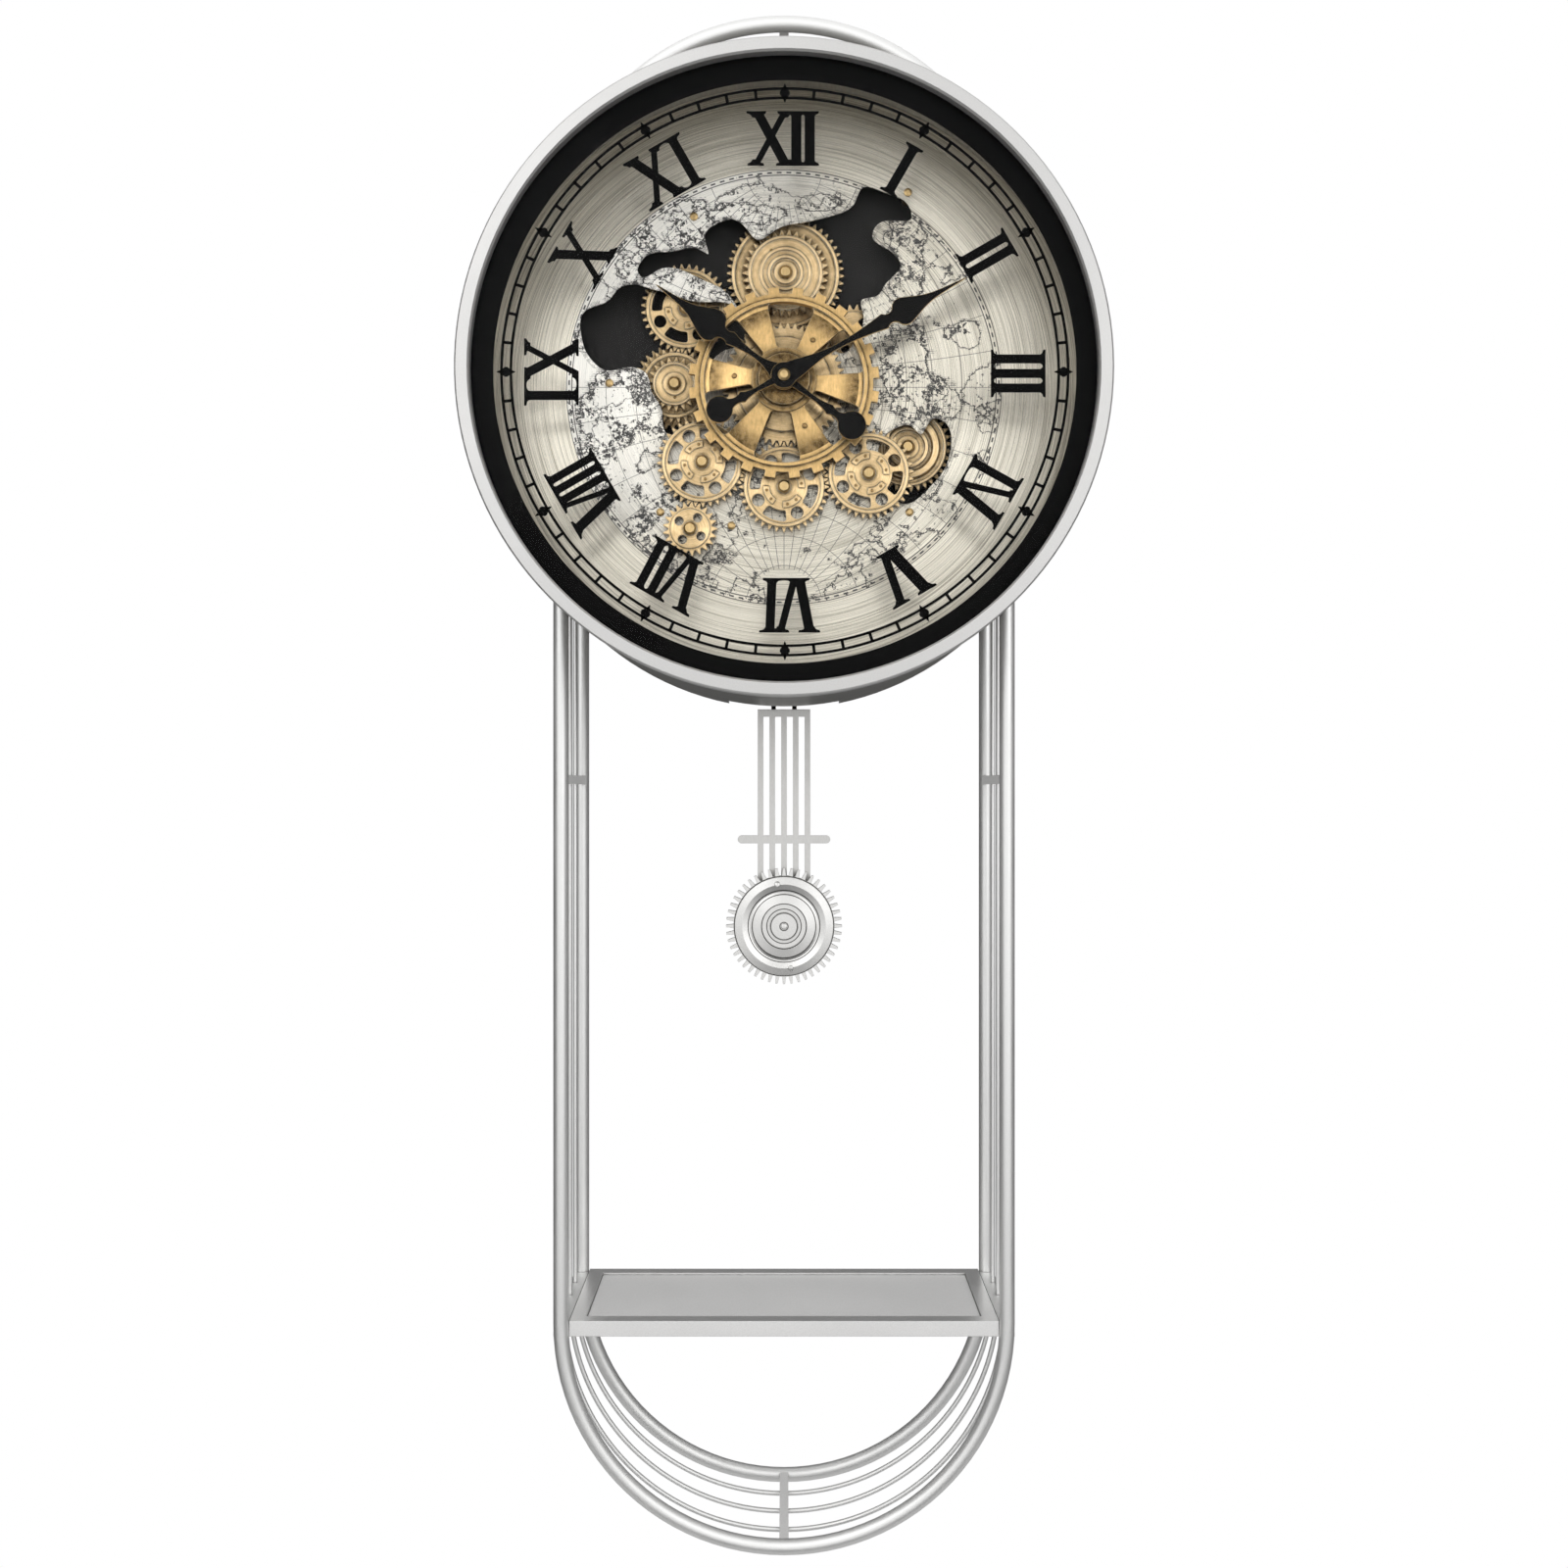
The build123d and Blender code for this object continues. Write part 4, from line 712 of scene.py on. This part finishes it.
# place on the dial: turn is clockwise from twelve, along is sideways and out is away from the middle, in mm
def onDial(turn, along, out, depth):
    x = out * np.sin(turn) + along * np.cos(turn)
    z = out * np.cos(turn) - along * np.sin(turn)
    y = np.broadcast_to(depth, x.shape)
    x = x * printSet["size"] + printSet["middle"][0]
    z = z * printSet["size"] + printSet["middle"][1]
    return np.stack([x * mm, y * mm + faceDepth, z * mm + axisHeight], -1)


printSet = {
    "depth": 10.30,  # in the back skin of the glass
    "size": 0.995,
    "middle": (0.5, -1.3),  # the print sits a little low on the pane
    "layer": 0.03,  # each stroke lies this much behind the one before
    "band": (180.5, 197.4),
    "backing": (181.2, 197.0),  # pale layer on the back of the black band
    "backingDepth": 10.46,
    "track": ((168.75, 170.45), (174.55, 176.25)),
    "ringSteps": 720,
    "tick": (169.6, 175.4, 0.95),
    "lozenge": {"out": 172.6, "half": 5.8, "steps": 17,
                "share": (0.0, 0.15, 0.5, 1.0), "wide": (3.1, 3.1, 1.25, 0.2)},
    "weight": 1.14,  # strokes this much wider than their drawing
    "strokeSteps": 9,
    "foot": 127.6,
    "head": 161.4,
    "bar": 1.45,  # serif thickness
    "barSteps": 61,
    "flare": (2.5, 1.0),  # serif bracket height and reach
    "tip": (0.5, 0.25),  # length of a serif's rounded tip, and the least share of its height there, squared
    "thick": {"numerals": 0.02 * mm, "track": 0.04 * mm, "backing": 0.03 * mm},
}
# strokes as (place at the head, place at the foot, half width); bars as (from, to) at head and foot
numeralSet = {
    1: {"strokes": [(0, 0, 2.6)], "head": [(-6, 6)], "foot": [(-6, 6)]},
    2: {"strokes": [(-4.2, -4.2, 2.5), (4.2, 4.2, 2.5)], "head": [(-10.2, 10.2)], "foot": [(-10.2, 10.2)]},
    3: {"strokes": [(-8, -8, 2.45), (1, 1, 2.45), (10, 10, 2.45)],
        "head": [(-13.8, 15.8)], "foot": [(-13.8, 15.8)]},
    4: {"strokes": [(-10.5, -10.0, 2.4), (-4.6, 5.6, 1.75), (13.8, 8.0, 2.7)],
        "head": [(-16.8, 0.6), (7.5, 20)], "foot": [(-15.3, 13.7)]},
    5: {"strokes": [(-8.85, -0.8, 3.3), (9.4, 3.0, 2.35)],
        "head": [(-15.6, -2.4), (3.3, 15.5)], "foot": [(-7.3, 8.3)]},
    6: {"strokes": [(-15.5, -9.0, 2.75), (2.8, -6.0, 2.0), (9.3, 7.9, 2.5)],
        "head": [(-21.9, -8.4), (-2.7, 16)], "foot": [(-15.5, 13.7)]},
    7: {"strokes": [(-18.4, -9.8, 2.45), (-1.3, -7.2, 1.55), (3.8, 4.9, 2.38), (11.9, 13.1, 2.38)],
        "head": [(-24.4, -12.2), (-6.5, 18)], "foot": [(-15.9, 18.8)]},
    8: {"strokes": [(-20.4, -12.2, 2.8), (-3.5, -9.5, 1.45), (-0.1, -0.1, 2.18), (7, 7, 2.18),
                    (14.1, 14.1, 2.18)],
        "head": [(-26.8, -14.3), (-8.4, 19.6)], "foot": [(-18.3, 19.7)]},
    9: {"strokes": [(-14.6, -14.6, 2.5), (-1.6, 16.2, 2.8), (16.2, -1.6, 1.8)],
        "head": [(-21, 2.9), (10.2, 20.8)], "foot": [(-20.8, -0.8), (9.7, 20.3)]},
    10: {"strokes": [(-9, 9, 2.85), (9, -9, 1.85)],
         "head": [(-14.8, -3.4), (3.4, 14.8)], "foot": [(-14.8, -3.4), (3.4, 14.8)]},
    11: {"strokes": [(-17.3, -0.6, 2.85), (-0.6, -17.3, 1.85), (11.5, 11.5, 2.5)],
         "head": [(-22.8, -11.8), (-4.6, 17.5)], "foot": [(-22.9, -13.0), (-5.6, 17.4)]},
    12: {"strokes": [(-17.3, 0.9, 2.9), (0.2, -18.2, 1.9), (7.1, 7.1, 2.75), (15.4, 15.4, 2.75)],
         "head": [(-23.8, -11.6), (-4.6, 21.1)], "foot": [(-23.2, -12.9), (-5.5, 21.2)]},
}
bothSides = np.array([-1.0, 1.0])


# flat ring: radius runs over the rows, turn over the columns
def flatRing(inner, outer, depth):
    turn = np.linspace(0, 2 * pi, printSet["ringSteps"], endpoint=False)[None, None, :]
    out = np.array([inner, outer])[None, :, None]
    return onDial(turn, 0.0, out * np.ones_like(turn), depth)


# a stroke's sides run straight from head to foot at one half width
def numeralStroke(turn, head, foot, half, layer):
    share = np.linspace(0, 1, printSet["strokeSteps"])[:, None]
    along = head + (foot - head) * share + printSet["weight"] * half * bothSides[None, :]
    out = printSet["head"] + (printSet["foot"] - printSet["head"]) * share + 0 * along
    return onDial(turn, along, out, printSet["depth"] + layer * printSet["layer"])[None]


# a serif bar: straight outer edge, inner edge rising by an exponential curve towards each stroke's side
def numeralBar(turn, start, stop, places, edge, inward):
    along = np.linspace(start, stop, printSet["barSteps"])
    gap = np.min([np.maximum(0, np.abs(along - at) - half) for at, half in places], axis=0)
    rise = printSet["bar"] + printSet["flare"][0] * np.exp(-gap / printSet["flare"][1])
    tipLength, tipLeast = printSet["tip"]
    tip = np.minimum(1, np.minimum(along - start, stop - along) / tipLength)
    rise = rise * np.sqrt(np.maximum(tipLeast, 1 - (1 - tip) ** 2))
    out = np.stack([np.full_like(along, edge), edge + inward * rise])
    return onDial(turn, np.stack([along, along]), out, printSet["depth"])[None]


numeralGrids = []
for hour, form in numeralSet.items():
    turn = radians(30 * hour)
    for layer, (head, foot, half) in enumerate(form["strokes"], 1):
        numeralGrids.append((numeralStroke(turn, head, foot, half, layer), False))
    for start, stop in form["head"]:
        places = [(head, half) for head, foot, half in form["strokes"]]
        numeralGrids.append((numeralBar(turn, start, stop, places, printSet["head"], -1.0), False))
    for start, stop in form["foot"]:
        places = [(foot, half) for head, foot, half in form["strokes"]]
        numeralGrids.append((numeralBar(turn, start, stop, places, printSet["foot"], 1.0), False))
thick = printSet["thick"]
makePiece("numerals", numeralGrids, "case", finishes["printInk"], thick["numerals"])

# minute track: two rings and the black band, straight ticks, and lozenges whose width follows a table
minutes = np.radians(6.0 * np.array([minute for minute in range(60) if minute % 5]))[:, None, None]
tickIn, tickOut, tickHalf = printSet["tick"]
tickSide = bothSides[None, None, :] * tickHalf
tickReach = np.array([tickIn, tickOut])[None, :, None]
ticks = onDial(minutes, tickSide + 0 * tickReach, tickReach + 0 * tickSide, printSet["depth"])
lozenge = printSet["lozenge"]
hours = np.radians(30.0 * np.arange(12))[:, None, None]
share = np.linspace(-1, 1, lozenge["steps"])[None, :, None]
lozengeSide = bothSides[None, None, :] * np.interp(np.abs(share), lozenge["share"], lozenge["wide"])
lozengeReach = lozenge["out"] + lozenge["half"] * share + 0 * lozengeSide
lozenges = onDial(hours, lozengeSide, lozengeReach, printSet["depth"])
bands = (printSet["band"], *printSet["track"])
trackGrids = [(flatRing(*band, printSet["depth"]), True) for band in bands]
trackGrids += [(ticks, False), (lozenges, False)]
makePiece("minuteTrack", trackGrids, "case", finishes["printInk"], thick["track"])
backing = flatRing(*printSet["backing"], printSet["backingDepth"])
makePiece("bandBacking", [(backing, True)], "case", finishes["backingInk"], thick["backing"])
print("numerals and minute track printed")


rayStart = -0.5  # well before the front, along the depth


# where a straight line from the front first meets a node, and the way the surface faces there
def seatOn(nodeName, x, z):
    surface = BVHTree.FromObject(nodes[nodeName], bpy.context.evaluated_depsgraph_get())
    spot, normal, _, _ = surface.ray_cast((x, rayStart, z), (0.0, 1.0, 0.0))
    return np.array(spot), np.array(normal)


# round heads: a short wall and a quarter-sine dome, turned about the line that stands on the seat
def roundHeads(name, seats, body, finish, head):
    spots = np.array([spot for spot, normal in seats])[:, None, None, :]
    normals = np.array([normal for spot, normal in seats])[:, None, None, :]
    sideA = np.cross(normals, (0.0, 0.0, 1.0))
    sideA = sideA / np.linalg.norm(sideA, axis=-1, keepdims=True)
    sideB = np.cross(normals, sideA)
    lift = np.linspace(0, pi / 2, headSteps["lift"])
    dome = head["wall"] + (head["height"] - head["wall"]) * np.sin(lift)
    out = head["radius"] * np.concatenate([[0.0, 1.0], np.cos(lift)])
    out[-1] = 0.0
    rise = np.concatenate([[-head["sink"]] * 2, dome])
    turn = np.linspace(0, 2 * pi, headSteps["turn"], endpoint=False)[None, None, :, None]
    out, rise = (part[None, :, None, None] * mm for part in (out, rise))
    grids = spots + out * (np.cos(turn) * sideA + np.sin(turn) * sideB) + rise * normals
    return makePiece(name, [(grids, True)], body, finish, close=True)


headSteps = {"lift": 6, "turn": 20}
plateHead = {"radius": 0.85, "wall": 0.12, "height": 0.3, "sink": 0.4}  # low enough to pass behind the cog
spokeHead = {"radius": 1.5, "wall": 0.3, "height": 0.8, "sink": 0.5}
bobHead = {"radius": 2.0, "wall": 0.3, "height": 0.9, "sink": 0.5}
bobScrew = {"radius": 2.2, "wall": 0.5, "height": 1.1, "sink": 0.5}
# bearings of four pairs of rivets, a quarter turn apart
plateTurns = tuple(27 + 90 * quarter + side for quarter in range(4) for side in (-16, 16))
# rivets: node, body, middle x and z in mm below the hanging point, distance out, bearings in degrees, head
rivetSet = {
    "cogRivets": ("cog_wheel", "centre_train", (0.0, -150.0), 31.5, (54.6, 174.6, -65.4), spokeHead),
    "bottomRivets": ("bottom_wheel", "bottom_gear", (0.0, -215.36), 11.3, plateTurns, plateHead),
    "lowerLeftRivets": (
        "lower_left_wheel", "lower_left_gear", (-52.357, -199.453), 11.3, plateTurns, plateHead),
    "lowerRightRivets": (
        "lower_right_wheel", "lower_right_gear", (54.046, -206.8), 11.3, plateTurns, plateHead),
    "upperLeftRivets": (
        "upper_left_wheel", "upper_left_gear", (-63.642, -97.492), 11.3, plateTurns, plateHead),
    "topRivets": ("top_wheel_small", "top_pair", (0.91, -75.526), 17.2, (122.0, -58.0), plateHead),
    "leftRivets": ("left_wheel_front", "left_stack", (-70.623, -147.164), 8.6, (-88.0,), plateHead),
    "bobRivets": ("bob_face", "pendulum", (0.0, -505.0), 30.0, (99.0, -81.0), bobHead),
    "bobScrew": ("bob_face", "pendulum", (0.0, -505.0), 0.0, (0.0,), bobScrew),
}
for name, (nodeName, body, middle, reach, bearings, head) in rivetSet.items():
    turns = np.radians(bearings)
    spots = (np.array(middle) + reach * np.stack([np.cos(turns), np.sin(turns)], -1)) * mm
    seats = [seatOn(nodeName, *spot) for spot in spots]
    finish = finishes["rivetBrass"] if slotOf[nodeName] == "gear_gold" else finishOf(nodeName)
    roundHeads(name, seats, body, finish, head)
print("rivets set:", len(rivetSet), "groups")

# light: white world for what looks at it straight, dimmer for the light it sheds
lightSet = {
    "ambient": 0.50,
    "key": {"place": (-0.95, -1.55, 0.65), "size": 1.5, "power": 7.5},
    "fill": {"place": (1.10, -1.45, 0.05), "size": 1.2, "power": 5.0},
    "aim": (0.0, -0.1, -0.4),
    "cards": {
        "shadeBehind": {"middle": (0, 0.70, -0.45), "sides": ((1.6, 0, 0), (0, 0, 1.6)), "tone": 0.20},
        "shadeLeft": {"middle": (-1.35, -0.15, -0.45), "sides": ((0, 0.85, 0), (0, 0, 1.5)), "tone": 0.12,
                      "inside": False},
        "shadeRight": {"middle": (1.35, -0.15, -0.45), "sides": ((0, 0.85, 0), (0, 0, 1.5)), "tone": 0.26},
        "shadeHigh": {"middle": (-0.50, -1.25, 0.60), "sides": ((-0.38, 0, 0.38), (0.13, 0, 0.13)),
                      "tone": 0.02, "outside": False},
        "shadeTop": {"middle": (0.0, -1.25, 0.66), "sides": ((0.13, 0, 0), (0, 0, 0.28)), "tone": 0.04,
                     "outside": False},
        "shadeAside": {"middle": (0.62, -1.25, 0.14), "sides": ((0.20, 0, 0), (0, 0, 0.18)), "tone": 0.22,
                       "outside": False},
        "shadeLow": {"middle": (0.2, -0.95, -1.30), "sides": ((1.3, 0, 0), (0, 0.45, 0)), "tone": 0.05},
    },
    "floor": {"middle": (0, 0, -1.45), "sides": ((0.95, 0, 0), (0, 0.95, 0)), "tone": 0.85},
    "paper": {"noise": (40.0, 4.0), "dim": 0.97, "rough": 0.8},
}
world = bpy.data.worlds.new("paleStudio")
scene.world = world
world.use_nodes = True
tree = world.node_tree
sky = tree.nodes["Background"].inputs
path = tree.nodes.new("ShaderNodeLightPath").outputs
seen = most(tree, [path["Is Camera Ray"], path["Is Glossy Ray"], path["Is Transmission Ray"]])
feed(tree, (1.0, 1.0, 1.0), sky["Color"])
feed(tree, ramp(tree, seen, 0.0, 1.0, lightSet["ambient"], 1.0), sky["Strength"])

for lampName in ("key", "fill"):
    look = lightSet[lampName]
    lamp = bpy.data.lights.new(lampName + "Lamp", "AREA")
    lamp.size = look["size"]
    lamp.energy = look["power"]
    lampObject = bpy.data.objects.new(lampName + "Lamp", lamp)
    lampObject.location = look["place"]
    x, y, z = np.array(lightSet["aim"]) - np.array(look["place"])
    lampObject.rotation_euler = (np.arctan2(np.hypot(x, y), -z), 0.0, np.arctan2(-x, y))
    lampObject.visible_camera = False
    scene.collection.objects.link(lampObject)


# a flat stage sheet: its corners are the middle plus or less each half side
def stageSheet(name, look):
    signs = np.array([[-1, -1], [1, -1], [1, 1], [-1, 1]])
    corners = np.array(look["middle"]) + signs @ np.array(look["sides"])
    mesh = bpy.data.meshes.new(name)
    mesh.from_pydata(corners.tolist(), [], [(0, 1, 2, 3)])
    paper = lightSet["paper"]
    finish, tree, sockets = startFinish(name + "Paper", 0.0)
    sockets["Roughness"].default_value = paper["rough"]
    grain = noise(tree, objectPlace(tree), *paper["noise"])
    low, high = (paper["dim"] * look["tone"],) * 3, (look["tone"],) * 3
    feed(tree, blendColour(tree, grain, low, high), sockets["Base Color"])
    mesh.materials.append(finish)
    sheet = bpy.data.objects.new(name, mesh)
    scene.collection.objects.link(sheet)
    return sheet


stageSheet("paleFloor", lightSet["floor"])
for cardName, look in lightSet["cards"].items():
    card = stageSheet(cardName, look)
    card.visible_camera = False
    card.visible_diffuse = False
    card.visible_shadow = False
    card.visible_glossy = look.get("outside", True)  # mirrored by what stands before the pane
    card.visible_transmission = look.get("inside", True)  # mirrored by what lies behind the pane
print("light and stage set")
